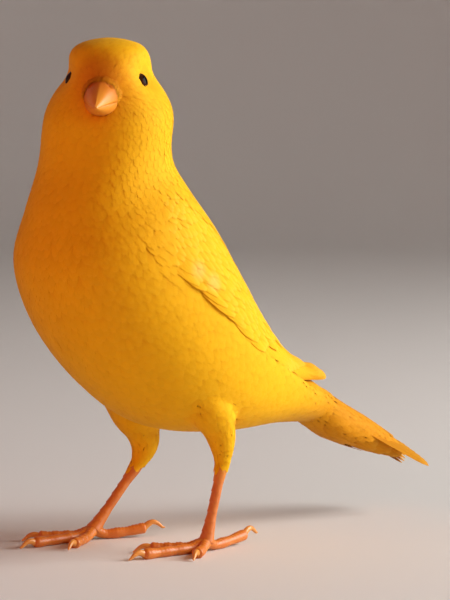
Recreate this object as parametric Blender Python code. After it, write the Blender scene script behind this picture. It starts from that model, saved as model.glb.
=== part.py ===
"""Life-size standing canary, as a still model: faceted solids, one closed body for each named part.

The bird heads along -Y, its left side is +X and up is +Z. Sizes below are in millimetres and are
scaled to metres when a mesh is made. "Forward" is -Y and "left" is +X throughout.
"""
import random
from math import cos, pi, radians, sin

import bmesh
import bpy
import numpy as np
from mathutils import Matrix, Vector

MM = 0.001
GAP = 0.3
WELD = 2e-6

# Trunk and head as one lofted form. Each station is a slice of the plumage: where its chord meets
# the belly and the back (forward, up), its half width and how far it is turned to the left.
STATIONS = (
    ("tail_root", -42.6, 23.0, -50.0, 28.8, 5.5, 0),
    ("vent", -31.0, 23.6, -42.3, 32.6, 10.0, 0),
    ("rump", -15.5, 23.2, -33.2, 40.2, 14.8, 0),
    ("loin", 0.4, 25.6, -24.2, 49.2, 18.7, 0),
    ("back", 13.3, 34.2, -17.0, 58.8, 20.7, 0),
    ("breast", 23.6, 45.8, -10.4, 68.2, 20.6, 0),
    ("shoulder", 28.8, 58.0, -4.6, 75.4, 18.7, 0),
    ("collar", 27.6, 69.0, -1.6, 81.0, 14.5, 2),
    ("throat", 24.7, 78.0, -1.0, 86.0, 13.2, 10),
    ("nape", 23.7, 84.0, -1.4, 90.0, 13.1, 24),
    ("cheek", 23.4, 88.5, -1.5, 93.0, 12.6, 36),
    ("gape", 22.2, 92.4, -1.4, 95.6, 11.2, 43),
    ("eye", 21.2, 97.2, -1.0, 98.6, 8.7, 43),
    ("brow", 19.6, 101.4, -0.1, 101.9, 7.85, 43),
    ("forehead", 16.6, 104.05, 3.2, 104.25, 5.8, 43),
    ("crown", 10.6, 105.3, 10.6, 105.3, 0.0, 43),
)
BODY = np.array([station[1:] for station in STATIONS], float)
SECTION_POWER = 2.2
NECK_PIVOT_FORWARD = 11.0
NECK_PIVOT_LEFT = 0.5
HEAD_TURN = 43.0
FULL_PIVOT_SHIFT = 0.75
TORSO_END = 7.3
HEAD_START = 9.5
CROWN_RING = 14.86
PARTING = 0.05
BODY_SIDES = 30
STEP_T = 0.001
STEP_ANGLE = 0.1

# Local relief of the face, in millimetres of lift, each a soft bump (station, angle, lift, reach).
EYE_STATION = 12.04
EYE_TILT = 0.03
EYE_ANGLE = 115.5
FACE_RELIEF = (
    (12.04, 117.0, -0.6, 0.75, 24.0),
    (13.2, 118.0, 0.35, 0.45, 26.0),
    (11.6, 158.0, -0.35, 0.6, 12.0),
)

EYE_RADIUS = 2.3
EYE_PROUD = 0.45
LID_RING = 1.78
LID_THICKNESS = 0.42

# Bill, in the head's own frame: forward of the pivot, sideways and up.
BILL_BACK = 8.3
BILL_BASE = 10.0
BILL_TIP = 18.8
LOWER_BILL_TIP = 17.9
BILL_TIP_HEIGHT = 91.5
GAPE_HEIGHT = 92.7
CULMEN_HEIGHT = 97.1
GONYS_DROP = 3.0
BILL_HALF_WIDTH = 3.6
BILL_ARCH = 9
BILL_ROUNDING = 0.85
NOSTRIL_FORWARD = 11.9
NOSTRIL_SIDE = 1.9
NOSTRIL_RADIUS = 0.42

# Folded wings lie in a bed sunk into the trunk. Their surface follows the trunk's stations but
# runs straight back off the rump to the wing tips.
WING = BODY.copy()
WING[0] = (-22.9, 28.0, -49.2, 34.0, 7.8, 0)
WING[1] = (-22.3, 26.3, -41.7, 37.2, 10.3, 0)
WING_FRONT = 6.8
WING_REAR = 0.1
WING_UPPER_EDGE = ((0.1, 14), (1, 8), (2, 9), (3, 14), (4, 23), (5, 33), (6, 45), (6.8, 58))
WING_LOWER_EDGE = ((0.1, 46), (1, 58), (1.6, 62), (2.35, 68), (3.1, 75), (3.85, 79),
                   (4.5, 86), (4.95, 90), (5.4, 93), (6.3, 95), (6.8, 90))
BED_DEPTH = 3.2
BED_FRONT = (7.0, 7.25)
BED_REAR = (0.9, 1.7)
BED_MARGIN = 4.0
BED_RAMP = 10.0
SHELL_LOW = -1.65
SHELL_HIGH = -1.05
SHELL_END = 0.72
VANE_THICKNESS = 0.55
VANE_CROWN = 0.12
TIP_POINT = 0.3

# A vane's outline: share of its length, share of its half width.
LONG_VANE = ((0.0, 0.5), (0.25, 0.82), (0.5, 1.0), (0.74, 0.97), (0.93, 0.68), (1.0, 0.25))
SHORT_VANE = ((0.0, 0.6), (0.45, 1.0), (0.8, 0.85), (1.0, 0.32))

# Tiers of the folded wing, each a row of vanes spread between its first and its last. Places are
# (share from wrist to tip, share from upper to lower edge); then half widths and lifts.
# name, count, first root, last root, first tip, last tip, half widths, root lift, tip lifts, outline
WING_TIERS = (
    ("primaries", 5, (0.42, 0.93), (0.36, 0.60), (0.94, 0.86), (0.90, 0.30), (2.1, 2.5), -1.35,
     (-1.30, -0.35), LONG_VANE),
    ("secondaries", 4, (0.30, 0.88), (0.28, 0.55), (0.68, 0.86), (0.79, 0.46), (2.8, 3.0), -1.35,
     (-0.85, -0.35), LONG_VANE),
    ("tertials", 3, (0.28, 0.46), (0.24, 0.22), (0.75, 0.36), (0.56, 0.14), (3.2, 3.4), -1.35,
     (-0.25, 0.10), LONG_VANE),
    ("primary_coverts", 2, (0.17, 0.94), (0.15, 0.82), (0.52, 0.93), (0.46, 0.82), (1.8, 2.0), -1.35,
     (-0.75, -0.45), SHORT_VANE),
    ("greater_coverts", 6, (0.15, 0.90), (0.13, 0.20), (0.42, 0.88), (0.40, 0.16), (2.1, 2.5), -1.35,
     (-0.35, -0.10), SHORT_VANE),
    ("median_coverts", 5, (0.07, 0.88), (0.06, 0.22), (0.27, 0.90), (0.26, 0.16), (2.2, 2.4), -1.35,
     (-0.15, 0.05), SHORT_VANE),
    ("lesser_coverts", 4, (0.01, 0.80), (0.01, 0.28), (0.15, 0.88), (0.14, 0.18), (2.3, 2.4), -1.35,
     (0.0, 0.15), SHORT_VANE),
    ("scapulars", 4, (0.07, 0.10), (0.30, 0.10), (0.23, 0.07), (0.52, 0.05), (2.3, 2.5), -1.35,
     (0.15, 0.25), SHORT_VANE),
)
WING_TIP_REACH = 0.06
VANE_JITTER = 0.012

# Tail, from the root's middle to the tip along one line, with the feathers fanned over it.
TAIL_ROOT = (-46.0, 27.8)
TAIL_TIP = (-79.6, 11.7)
TAIL_PAIRS = 6
TAIL_ARCH = 0.015
TAIL_STEP = 0.36
TAIL_LENGTHS = (32.5, 33.5, 34.8, 36.0, 36.8, 37.0)
RIGHT_TAIL_EXTRA = 0.5
RECTRIX_ROOT = 4.0
RECTRIX_ROOT_STEP = 0.5
RECTRIX_TIP_STEP = 0.78
RECTRIX_HALF_WIDTH = 1.9
# Coverts' bulk over the feather roots: distance along, half width, lowest and highest.
TAIL_CORE = ((8.0, 4.9, -6.3, 2.1), (16.0, 4.4, -5.5, 1.9), (24.0, 3.2, -4.2, 1.4),
             (31.0, 1.6, -2.6, 0.6))
TAIL_ROOT_SHRINK = 0.97
TAIL_ROOT_WAY = (0.0, 0.64, -0.77)
TAIL_ROOT_GAP = 0.57
TAIL_ROOT_SIDES = 24
# name, count, root along, root spread, tip along (outer, middle), tip spread, half width, lifts
TAIL_COVERTS = (
    ("upper", 5, 3.2, 1.7, (20.0, 27.0), 2.6, 2.0, 1.5, 1.5),
    ("under", 5, 3.0, 2.4, (20.0, 26.5), 3.4, 2.2, -5.2, -3.9),
)

# Legs: ankle, foot and claw places as (forward, left, up).
LEGS = {
    "left": {
        "side": 1,
        "knee": (-2.0, 11.0, 36.0),
        "shin": ((-6.2, 12.4, 29.6, 4.8), (-8.3, 12.8, 25.6, 3.5), (-9.3, 12.8, 21.9, 2.55),
                 (-9.5, 12.7, 18.7, 1.6)),
        "ankle": (-9.35, 12.7, 17.8),
        "foot": (-5.3, 12.5),
        "toes": {"2": (7.8, 4.4), "3": (14.3, 11.1), "4": (4.5, 19.8)},
        "hind": (-22.2, 9.7),
    },
    "right": {
        "side": -1,
        "knee": (-2.0, -11.0, 34.0),
        "shin": ((-6.8, -12.3, 26.6, 5.1), (-9.2, -12.7, 22.1, 3.6), (-9.7, -12.8, 18.8, 2.8),
                 (-8.5, -12.9, 16.0, 1.75)),
        "ankle": (-8.0, -13.0, 15.1),
        "foot": (3.3, -14.0),
        "toes": {"2": (16.5, -5.8), "3": (22.9, -13.8), "4": (17.0, -21.1)},
        "hind": (-11.4, -7.7),
    },
}
LIMB_SIDES = 8
TARSUS_RADIUS = 1.02
FOOT_HEIGHT = 2.1
TOE_START = 4.4
HIND_START = 3.0
CLAW_LENGTH = 4.4
HIND_CLAW_LENGTH = 5.2
HIND_RISE = 0.95
TOE_END = 1.12

FEATHER_YELLOW = (0.93, 0.50, 0.02)
WING_YELLOW = (0.95, 0.55, 0.05)
TAIL_YELLOW = (0.90, 0.45, 0.04)
LEG_ORANGE = (0.72, 0.25, 0.08)
CLAW_HORN = (0.80, 0.38, 0.14)
BILL_ORANGE = (0.85, 0.40, 0.16)
EYE_BROWN = (0.015, 0.006, 0.004)


def clear_scene():
    """Remove the objects that a new Blender file starts with."""
    for item in list(bpy.data.objects):
        bpy.data.objects.remove(item, do_unlink=True)


def new_collection(name, parent=None):
    """Make a collection and hang it under the scene or another collection."""
    group = bpy.data.collections.new(name)
    (parent or bpy.context.scene.collection).children.link(group)
    return group


def make_material(name, colour, roughness):
    """One Principled material."""
    material = bpy.data.materials.new(name)
    material.use_nodes = True
    shader = material.node_tree.nodes["Principled BSDF"]
    shader.inputs["Base Color"].default_value = (*colour, 1.0)
    shader.inputs["Roughness"].default_value = roughness
    shader.inputs["Metallic"].default_value = 0.0
    material.diffuse_color = (*colour, 1.0)
    return material


def mesh_object(name, points, faces, group, material=None):
    """A closed mesh object from points in millimetres, with its faces turned outwards."""
    mesh = bpy.data.meshes.new(name)
    mesh.from_pydata([tuple(float(c) * MM for c in point) for point in points], [], faces)
    shape = bmesh.new()
    shape.from_mesh(mesh)
    bmesh.ops.recalc_face_normals(shape, faces=shape.faces)
    if shape.calc_volume(signed=True) < 0:
        bmesh.ops.reverse_faces(shape, faces=shape.faces)
    shape.to_mesh(mesh)
    shape.free()
    item = bpy.data.objects.new(name, mesh)
    if material:
        mesh.materials.append(material)
    group.objects.link(item)
    return item


def loft(name, rings, group, material=None):
    """A closed solid through rings of points, with flat caps."""
    count = len(rings[0])
    points = [point for ring in rings for point in ring]
    faces = [tuple(range(count)), tuple(range(len(points) - count, len(points)))]
    for row in range(len(rings) - 1):
        for k in range(count):
            a = row * count + k
            b = row * count + (k + 1) % count
            faces.append((a, b, b + count, a + count))
    return mesh_object(name, points, faces, group, material)


def keep_largest_surface(item):
    """Drop loose scraps, flat flaps and sealed hollows that a union leaves."""
    shape = bmesh.new()
    shape.from_mesh(item.data)
    bmesh.ops.remove_doubles(shape, verts=shape.verts, dist=WELD)
    bmesh.ops.dissolve_degenerate(shape, dist=WELD / 10, edges=shape.edges)
    bmesh.ops.triangulate(shape, faces=shape.faces)
    seen = set()
    surfaces = []
    for start in shape.faces:
        if start in seen:
            continue
        surface = []
        queue = [start]
        seen.add(start)
        while queue:
            face = queue.pop()
            surface.append(face)
            for edge in face.edges:
                if len(edge.link_faces) != 2:
                    continue
                for other in edge.link_faces:
                    if other not in seen:
                        seen.add(other)
                        queue.append(other)
        surfaces.append(surface)
    largest = max(surfaces, key=lambda surface: sum(face.calc_area() for face in surface))
    scraps = [face for surface in surfaces if surface is not largest for face in surface]
    if scraps:
        bmesh.ops.delete(shape, geom=scraps, context="FACES")
    shape.to_mesh(item.data)
    shape.free()


def combine(item, others, operation, solver="EXACT"):
    """Apply one Boolean with a collection of closed meshes, which are then removed."""
    group = bpy.data.collections.new(item.name + "_tools")
    bpy.context.scene.collection.children.link(group)
    for other in others:
        for owner in list(other.users_collection):
            owner.objects.unlink(other)
        group.objects.link(other)
    cut = item.modifiers.new("combine", "BOOLEAN")
    cut.operation = operation
    cut.operand_type = "COLLECTION"
    cut.collection = group
    cut.solver = solver
    evaluated = item.evaluated_get(bpy.context.evaluated_depsgraph_get())
    result = bpy.data.meshes.new_from_object(evaluated)
    item.modifiers.clear()
    item.data = result
    for other in list(group.objects):
        bpy.data.objects.remove(other, do_unlink=True)
    bpy.data.collections.remove(group)
    keep_largest_surface(item)
    return item


def smooth_step(value):
    """Ease from 0 to 1."""
    value = np.clip(value, 0.0, 1.0)
    return value * value * (3 - 2 * value)


def spline(table, t):
    """Catmull-Rom rows of a station table, closing in a smooth dome over the crown."""
    last = len(table) - 1
    start = 2 * table[0] - table[1]
    dome = table[-2].copy()
    dome[[0, 1, 2, 3]] = table[-2][[2, 3, 0, 1]]
    dome[4] = -table[-2][4]
    rows = np.vstack([start, table, dome])
    t = np.atleast_1d(np.asarray(t, float))
    i = np.clip(np.floor(t).astype(int), 0, last - 1)
    f = (t - i)[:, None]
    a, b, c, d = rows[i], rows[i + 1], rows[i + 2], rows[i + 3]
    return 0.5 * (2 * b + (c - a) * f + (2 * a - 5 * b + 4 * c - d) * f ** 2
                  + (3 * b - a - 3 * c + d) * f ** 3)


def section_points(table, t, angle):
    """Points on a station table's slices. Angle 0 is the back, 90 the left side, 180 the belly."""
    t, angle = np.broadcast_arrays(np.atleast_1d(np.asarray(t, float)), np.radians(angle))
    belly_f, belly_z, back_f, back_z, half, turn = spline(table, t.ravel()).T
    angle = angle.ravel()
    power = 2 / SECTION_POWER
    along = np.sign(np.cos(angle)) * np.abs(np.cos(angle)) ** power
    across = np.sign(np.sin(angle)) * np.abs(np.sin(angle)) ** power
    forward = (belly_f + back_f) / 2 + (back_f - belly_f) / 2 * along
    up = (belly_z + back_z) / 2 + (back_z - belly_z) / 2 * along
    side = half * across
    turn = np.radians(turn)
    reach = forward - NECK_PIVOT_FORWARD
    shift = NECK_PIVOT_LEFT * np.clip(turn / FULL_PIVOT_SHIFT, 0, 1)
    ahead = NECK_PIVOT_FORWARD + reach * np.cos(turn) - side * np.sin(turn)
    left = shift + reach * np.sin(turn) + side * np.cos(turn)
    return np.stack([left, -ahead, up], -1)


def surface_normals(table, t, angle):
    """Outward unit normals on a station table."""
    t, angle = np.asarray(t, float), np.asarray(angle, float)
    along = section_points(table, t + STEP_T, angle) - section_points(table, t - STEP_T, angle)
    around = section_points(table, t, angle + STEP_ANGLE) - section_points(table, t, angle - STEP_ANGLE)
    normal = np.cross(around, along)
    normal /= np.linalg.norm(normal, axis=1)[:, None] + 1e-12
    back = section_points(table, t, np.zeros_like(angle))
    belly = section_points(table, t, np.full_like(angle, 180.0))
    middle = (back + belly) / 2
    here = section_points(table, t, angle)
    return normal * np.sign(((here - middle) * normal).sum(1))[:, None]


def lifted_points(table, t, angle, lift):
    """Points at a height over a station table's surface."""
    t, angle, lift = np.broadcast_arrays(np.atleast_1d(np.asarray(t, float)), angle, lift)
    t, angle, lift = t.ravel(), angle.ravel(), lift.ravel()
    return section_points(table, t, angle) + surface_normals(table, t, angle) * lift[:, None]


def fold_angle(angle):
    """Angle from the back, 0 to 180, on either side."""
    return np.abs((np.asarray(angle) + 180.0) % 360.0 - 180.0)


def face_relief(t, angle):
    """Eye dents, brows and lores."""
    fold = fold_angle(angle)
    lift = np.zeros(np.broadcast(t, fold).shape)
    for station, place, height, reach_t, reach_a in FACE_RELIEF:
        lift = lift + height * np.exp(-((t - station) / reach_t) ** 2 - ((fold - place) / reach_a) ** 2)
    return lift


def wing_edges(t):
    """Angles of the folded wing's upper and lower edges at a station."""
    upper = np.interp(t, *zip(*WING_UPPER_EDGE))
    lower = np.interp(t, *zip(*WING_LOWER_EDGE))
    return upper, lower


def wing_bed(t, angle):
    """Depth of the bed that a folded wing lies in."""
    fold = fold_angle(angle)
    upper, lower = wing_edges(t)
    above = smooth_step((fold - upper + BED_MARGIN + BED_RAMP) / BED_RAMP)
    below = smooth_step((lower + BED_MARGIN + BED_RAMP - fold) / BED_RAMP)
    front = smooth_step((BED_FRONT[1] - t) / (BED_FRONT[1] - BED_FRONT[0]))
    rear = smooth_step((t - BED_REAR[0]) / (BED_REAR[1] - BED_REAR[0]))
    meeting = smooth_step((4.2 - t) / 1.4)
    above = np.maximum(above, meeting)
    return BED_DEPTH * above * below * front * rear


def body_rings(stations, lift=0.0, bed=True):
    """Rings of the trunk, neck or head at the given stations."""
    angles = np.arange(BODY_SIDES) * 360.0 / BODY_SIDES
    rings = []
    for t in stations:
        height = face_relief(t, angles) + lift
        if bed:
            height = height - wing_bed(t, angles)
        rings.append(lifted_points(BODY, t, angles, height))
    return rings


def make_torso(group, material):
    """Trunk from the tail root to the collar, with the beds of both wings."""
    stations = np.concatenate([[0.0, 0.5], np.arange(1.0, 6.9, 0.5), [6.95, TORSO_END - PARTING]])
    return loft("torso", body_rings(stations), group, material)


def make_neck(group, material):
    """Neck between the collar and the cheeks."""
    stations = np.linspace(TORSO_END + PARTING, HEAD_START - PARTING, 5)
    return loft("neck", body_rings(stations), group, material)


def head_place(forward, side, up):
    """A point given in the turned head's own frame."""
    turn = radians(HEAD_TURN)
    ahead = NECK_PIVOT_FORWARD + forward * cos(turn) - side * sin(turn)
    left = NECK_PIVOT_LEFT + forward * sin(turn) + side * cos(turn)
    return (left, -ahead, up)


def eye_place(side):
    """Centre of an eyeball and the way it looks."""
    station = EYE_STATION - EYE_TILT * side
    lift = float(np.ravel(face_relief(station, np.array([EYE_ANGLE])))[0])
    angle = np.array([side * EYE_ANGLE])
    normal = surface_normals(BODY, np.array([station]), angle)[0]
    surface = lifted_points(BODY, station, angle, lift)[0]
    return Vector(surface + normal * (EYE_PROUD - EYE_RADIUS)), Vector(normal)


def sphere(name, centre, radius, group, segments=16, rings=10, material=None):
    """A sphere primitive, sized in millimetres."""
    shape = bmesh.new()
    bmesh.ops.create_uvsphere(shape, u_segments=segments, v_segments=rings, radius=radius * MM,
                              matrix=Matrix.Translation(Vector(centre) * MM))
    mesh = bpy.data.meshes.new(name)
    shape.to_mesh(mesh)
    shape.free()
    item = bpy.data.objects.new(name, mesh)
    if material:
        mesh.materials.append(material)
    group.objects.link(item)
    return item


def lid_ring(name, centre, facing, group):
    """The ring of an eyelid, standing round the eyeball."""
    level = EYE_RADIUS - EYE_PROUD + 0.1
    bpy.ops.mesh.primitive_torus_add(major_segments=14, minor_segments=6, major_radius=LID_RING * MM,
                                     minor_radius=LID_THICKNESS * MM)
    item = bpy.context.object
    item.name = name
    turn = facing.to_track_quat("Z", "Y").to_matrix().to_4x4()
    item.data.transform(Matrix.Translation((centre + facing * level) * MM) @ turn)
    for owner in list(item.users_collection):
        owner.objects.unlink(item)
    group.objects.link(item)
    return item


def bill_lines(forward):
    """Heights of the mouth line and culmen, and the half width, along the bill."""
    k = max(0.0, (forward - BILL_BASE) / (BILL_TIP - BILL_BASE))
    mouth = GAPE_HEIGHT + (BILL_TIP_HEIGHT - GAPE_HEIGHT) * k ** 1.4
    culmen = BILL_TIP_HEIGHT + 0.25 + (CULMEN_HEIGHT - BILL_TIP_HEIGHT - 0.25) * (1 - k ** 1.45)
    half = 0.25 + (BILL_HALF_WIDTH - 0.25) * (1 - k ** 1.4)
    return mouth, culmen, half


def gonys_lines(forward):
    """Depth and half width of the lower bill."""
    k = max(0.0, (forward - BILL_BASE) / (LOWER_BILL_TIP - BILL_BASE))
    depth = 0.3 + (GONYS_DROP - 0.3) * (1 - k ** 1.6)
    half = 0.2 + (BILL_HALF_WIDTH - 0.35) * (1 - k ** 1.5)
    return depth, half


def make_upper_bill(group, material):
    """Upper bill: an arch over the mouth line, tapering to the tip, with nostril pits."""
    rings = []
    for forward in np.concatenate([[BILL_BACK], np.linspace(BILL_BASE, BILL_TIP, 7)]):
        mouth, culmen, half = bill_lines(forward)
        ring = []
        for angle in np.linspace(0, pi, BILL_ARCH):
            rise = (culmen - mouth) * sin(angle) ** BILL_ROUNDING
            ring.append(head_place(forward, half * cos(angle), mouth + GAP / 2 + rise))
        rings.append(ring)
    bill = loft("bill_upper", rings, group, material)
    pits = []
    for side in (1, -1):
        mouth, culmen, half = bill_lines(NOSTRIL_FORWARD)
        up = mouth + (culmen - mouth) * (1 - (NOSTRIL_SIDE / half) ** 2) ** 0.5
        centre = head_place(NOSTRIL_FORWARD, side * NOSTRIL_SIDE, up)
        pits.append(sphere("nostril", centre, NOSTRIL_RADIUS, group, 8, 6))
    return combine(bill, pits, "DIFFERENCE")


def make_lower_bill(group, material):
    """Lower bill under the mouth line."""
    rings = []
    for forward in np.concatenate([[BILL_BACK], np.linspace(BILL_BASE, LOWER_BILL_TIP, 6)]):
        mouth = bill_lines(forward)[0]
        depth, half = gonys_lines(forward)
        ring = []
        for angle in np.linspace(0, pi, BILL_ARCH):
            drop = depth * sin(angle) ** BILL_ROUNDING
            ring.append(head_place(forward, half * cos(angle), mouth - GAP / 2 - drop))
        rings.append(ring)
    return loft("bill_lower", rings, group, material)


def bill_socket(group):
    """The hollow in the face that holds the bill's root, a gap wider than the bill."""
    rings = []
    for forward in (BILL_BACK - GAP, BILL_BASE, 13.5):
        mouth, culmen, half = bill_lines(max(forward, BILL_BASE))
        depth = gonys_lines(max(forward, BILL_BASE))[0]
        ring = []
        for angle in np.linspace(0, 2 * pi, 20, endpoint=False):
            height = culmen - mouth + GAP if sin(angle) > 0 else depth + GAP
            rise = height * np.sign(sin(angle)) * abs(sin(angle)) ** BILL_ROUNDING
            ring.append(head_place(forward, (half + 1.4 * GAP) * cos(angle), mouth + 1.15 * rise))
        rings.append(ring)
    return loft("bill_socket", rings, group)


def make_head(group, cutters, material):
    """Head with lids, eye sockets and the bill's socket."""
    stations = np.concatenate([np.linspace(HEAD_START + PARTING, 14.0, 13), [14.45, 14.7, CROWN_RING]])
    head = loft("head", body_rings(stations), group, material)
    lids = []
    sockets = [bill_socket(cutters)]
    for side in (1, -1):
        centre, facing = eye_place(side)
        lids.append(lid_ring("lid", centre, facing, cutters))
        sockets.append(sphere("eye_socket", centre, EYE_RADIUS + GAP, cutters, 14, 10))
    combine(head, lids, "UNION")
    return combine(head, sockets, "DIFFERENCE")


def make_eyes(group, material):
    """Two dark eyeballs."""
    for name, side in (("eye_left", 1), ("eye_right", -1)):
        sphere(name, eye_place(side)[0], EYE_RADIUS, group, 14, 10, material)


def wing_surface(side):
    """Place on a folded wing from (from wrist to tip, from upper to lower edge, height)."""
    def place(u, v, height):
        t = WING_FRONT + (WING_REAR - WING_FRONT) * u
        upper, lower = wing_edges(t)
        angle = side * (upper + (lower - upper) * v)
        return lifted_points(WING, t, angle, height)[0]
    return place


def slab(name, surface, us, vs, low, high, group, material):
    """A closed sheet of even thickness over a surface, split alike on both faces."""
    points = []
    for height in (low, high):
        points += [surface(u, v, height) for u in us for v in vs]
    across = len(vs)
    layer = len(us) * across
    faces = []
    for i in range(len(us) - 1):
        for j in range(across - 1):
            a = i * across + j
            for base in (0, layer):
                faces.append((base + a, base + a + 1, base + a + across + 1))
                faces.append((base + a, base + a + across + 1, base + a + across))
    rim = [j for j in range(across)]
    rim += [i * across + across - 1 for i in range(1, len(us))]
    rim += [(len(us) - 1) * across + j for j in range(across - 2, -1, -1)]
    rim += [i * across for i in range(len(us) - 2, 0, -1)]
    for k, a in enumerate(rim):
        b = rim[(k + 1) % len(rim)]
        faces.append((a, b, b + layer, a + layer))
    return mesh_object(name, points, faces, group, material)


def vane(name, surface, root, tip, half_width, root_lift, tip_lift, outline, group):
    """One feather over a surface: crowned, rounded at its tip and split alike on both faces."""
    root, tip = np.array(root, float), np.array(tip, float)
    step = 1e-3
    points = []
    for share, width in outline:
        spot = root + (tip - root) * share
        lift = root_lift + (tip_lift - root_lift) * share ** 0.7
        here = surface(*spot, lift)
        by_a = (surface(spot[0] + step, spot[1], lift) - here) / step
        by_b = (surface(spot[0], spot[1] + step, lift) - here) / step
        way = by_a * (tip - root)[0] + by_b * (tip - root)[1]
        outward = surface(*spot, lift + 1.0) - here
        across = np.cross(outward, way)
        across *= half_width * width / np.linalg.norm(across)
        frame = np.array([[by_a @ by_a, by_a @ by_b], [by_a @ by_b, by_b @ by_b]])
        move = np.linalg.solve(frame, [by_a @ across, by_b @ across])
        ahead = np.linalg.solve(frame, [by_a @ way, by_b @ way])
        ahead *= TIP_POINT * half_width / np.linalg.norm(way)
        thick = VANE_THICKNESS / 2 * (0.65 if share == 1.0 else 1.0)
        middle = spot + (ahead if share == 1.0 else 0.0)
        left, right = spot + move, spot - move
        points += [surface(*left, lift + thick), surface(*middle, lift + thick + VANE_CROWN),
                   surface(*right, lift + thick), surface(*right, lift - thick),
                   surface(*middle, lift - thick), surface(*left, lift - thick)]
    faces = []
    for row in range(len(outline) - 1):
        a = row * 6
        for near, far in ((0, 1), (1, 2), (5, 4), (4, 3)):
            faces.append((a + near, a + far, a + far + 6))
            faces.append((a + near, a + far + 6, a + near + 6))
        faces.append((a + 2, a + 3, a + 9, a + 8))
        faces.append((a + 5, a, a + 6, a + 11))
    for a in (0, (len(outline) - 1) * 6):
        faces.append((a, a + 1, a + 4, a + 5))
        faces.append((a + 1, a + 2, a + 3, a + 4))
    return mesh_object(name, points, faces, group)


def spread(first, last, k):
    """A value part of the way from the first to the last, for numbers or places."""
    return tuple(np.atleast_1d(first) + (np.atleast_1d(last) - np.atleast_1d(first)) * k)


def make_wing(name, side, group, cutters, material):
    """A folded wing: a thin shell that follows the trunk, with its feathers in tiers."""
    surface = wing_surface(side)
    us = np.linspace(0.0, SHELL_END, 9)
    vs = np.linspace(0.05, 0.95, 5)
    shell = slab(name, surface, us, vs, SHELL_LOW, SHELL_HIGH, group, material)
    chance = random.Random(7)
    vanes = []
    for tier, count, root_a, root_b, tip_a, tip_b, widths, root_lift, lifts, outline in WING_TIERS:
        for number in range(count):
            k = number / (count - 1)
            root = spread(root_a, root_b, k)
            tip_u, tip_v = spread(tip_a, tip_b, k)
            if tier == "primaries":
                tip_u += WING_TIP_REACH * sin(pi * min(1.0, 0.25 + k))
            tip_u += chance.uniform(-VANE_JITTER, VANE_JITTER)
            half = spread(*widths, k)[0]
            lift = spread(*lifts, k)[0]
            vanes.append(vane(tier, surface, root, (tip_u, tip_v), half, root_lift, lift, outline, cutters))
    return combine(shell, vanes, "UNION")


def tail_place(along, side, height):
    """A point of the tail: millimetres from its root, to the left and above its plane."""
    root = np.array(TAIL_ROOT)
    line = np.array(TAIL_TIP) - root
    line = line / np.linalg.norm(line)
    rise = np.array([-line[1], line[0]]) * -1.0
    spot = root + line * along + rise * (height - TAIL_ARCH * side ** 2)
    return np.array([side, -spot[0], spot[1]])


def make_tail(group, cutters, material):
    """Tail: a root that goes on from the trunk, narrowing into a flat fan."""
    angles = np.arange(TAIL_ROOT_SIDES) * 360.0 / TAIL_ROOT_SIDES
    first = section_points(BODY, 0.0, angles)
    middle = first.mean(axis=0)
    rings = [middle + (first - middle) * TAIL_ROOT_SHRINK + np.array(TAIL_ROOT_WAY) * TAIL_ROOT_GAP]
    power = 2 / SECTION_POWER
    for along, half, low, high in TAIL_CORE:
        ring = []
        for angle in np.radians(angles):
            up = np.sign(cos(angle)) * abs(cos(angle)) ** power
            across = np.sign(sin(angle)) * abs(sin(angle)) ** power
            ring.append(tail_place(along, half * across, (high + low) / 2 + (high - low) / 2 * up))
        rings.append(ring)
    tail = loft("tail", rings, group, material)
    vanes = []
    for pair in range(TAIL_PAIRS):
        for side in (1, -1):
            right = side < 0
            root = (RECTRIX_ROOT, side * (0.3 + RECTRIX_ROOT_STEP * pair))
            reach = TAIL_LENGTHS[pair] + (RIGHT_TAIL_EXTRA if right else 0.0)
            tip = (reach, side * (0.7 + RECTRIX_TIP_STEP * pair))
            root_lift = 0.4 - 0.2 * pair
            tip_lift = 0.6 - TAIL_STEP * pair - (TAIL_STEP / 2 if right else 0.0)
            vanes.append(vane("rectrix", tail_place, root, tip, RECTRIX_HALF_WIDTH, root_lift, tip_lift,
                              LONG_VANE, cutters))
    for tier, count, root_along, root_spread, reach, tip_spread, half, root_lift, tip_lift in TAIL_COVERTS:
        for number in range(count):
            k = 2 * number / (count - 1) - 1
            tip_along = reach[1] + (reach[0] - reach[1]) * abs(k) + 0.6 * k
            lift = tip_lift * (1 - 0.12 * abs(k))
            vanes.append(vane(tier, tail_place, (root_along, root_spread * k), (tip_along, tip_spread * k),
                              half, root_lift, lift, SHORT_VANE, cutters))
    return combine(tail, vanes, "UNION")


def limb(name, path, radii, group, material=None, sides=LIMB_SIDES, floor=None, start_way=None,
         end_way=None):
    """A round limb along a path, cut flat where it meets the floor."""
    path = [Vector(point) for point in path]
    rings = []
    for k, centre in enumerate(path):
        before = path[max(k - 1, 0)]
        after = path[min(k + 1, len(path) - 1)]
        way = (after - before).normalized()
        if k == 0 and start_way is not None:
            way = start_way
        if k == len(path) - 1 and end_way is not None:
            way = end_way
        if abs(way.z) > 0.8:
            guide = Vector((1.0, 0.0, 0.0))
        else:
            guide = Vector((0.0, 0.0, 1.0))
        side = guide.cross(way).normalized()
        up = way.cross(side)
        ring = []
        for angle in np.arange(sides) * 2 * pi / sides:
            point = centre + (side * cos(angle) + up * sin(angle)) * radii[k]
            if floor is not None:
                point.z = max(point.z, floor)
            ring.append(tuple(point))
        rings.append(ring)
    return loft(name, rings, group, material)


def place(forward, left, up):
    """A point from (forward, left, up)."""
    return Vector((left, -forward, up))


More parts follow.
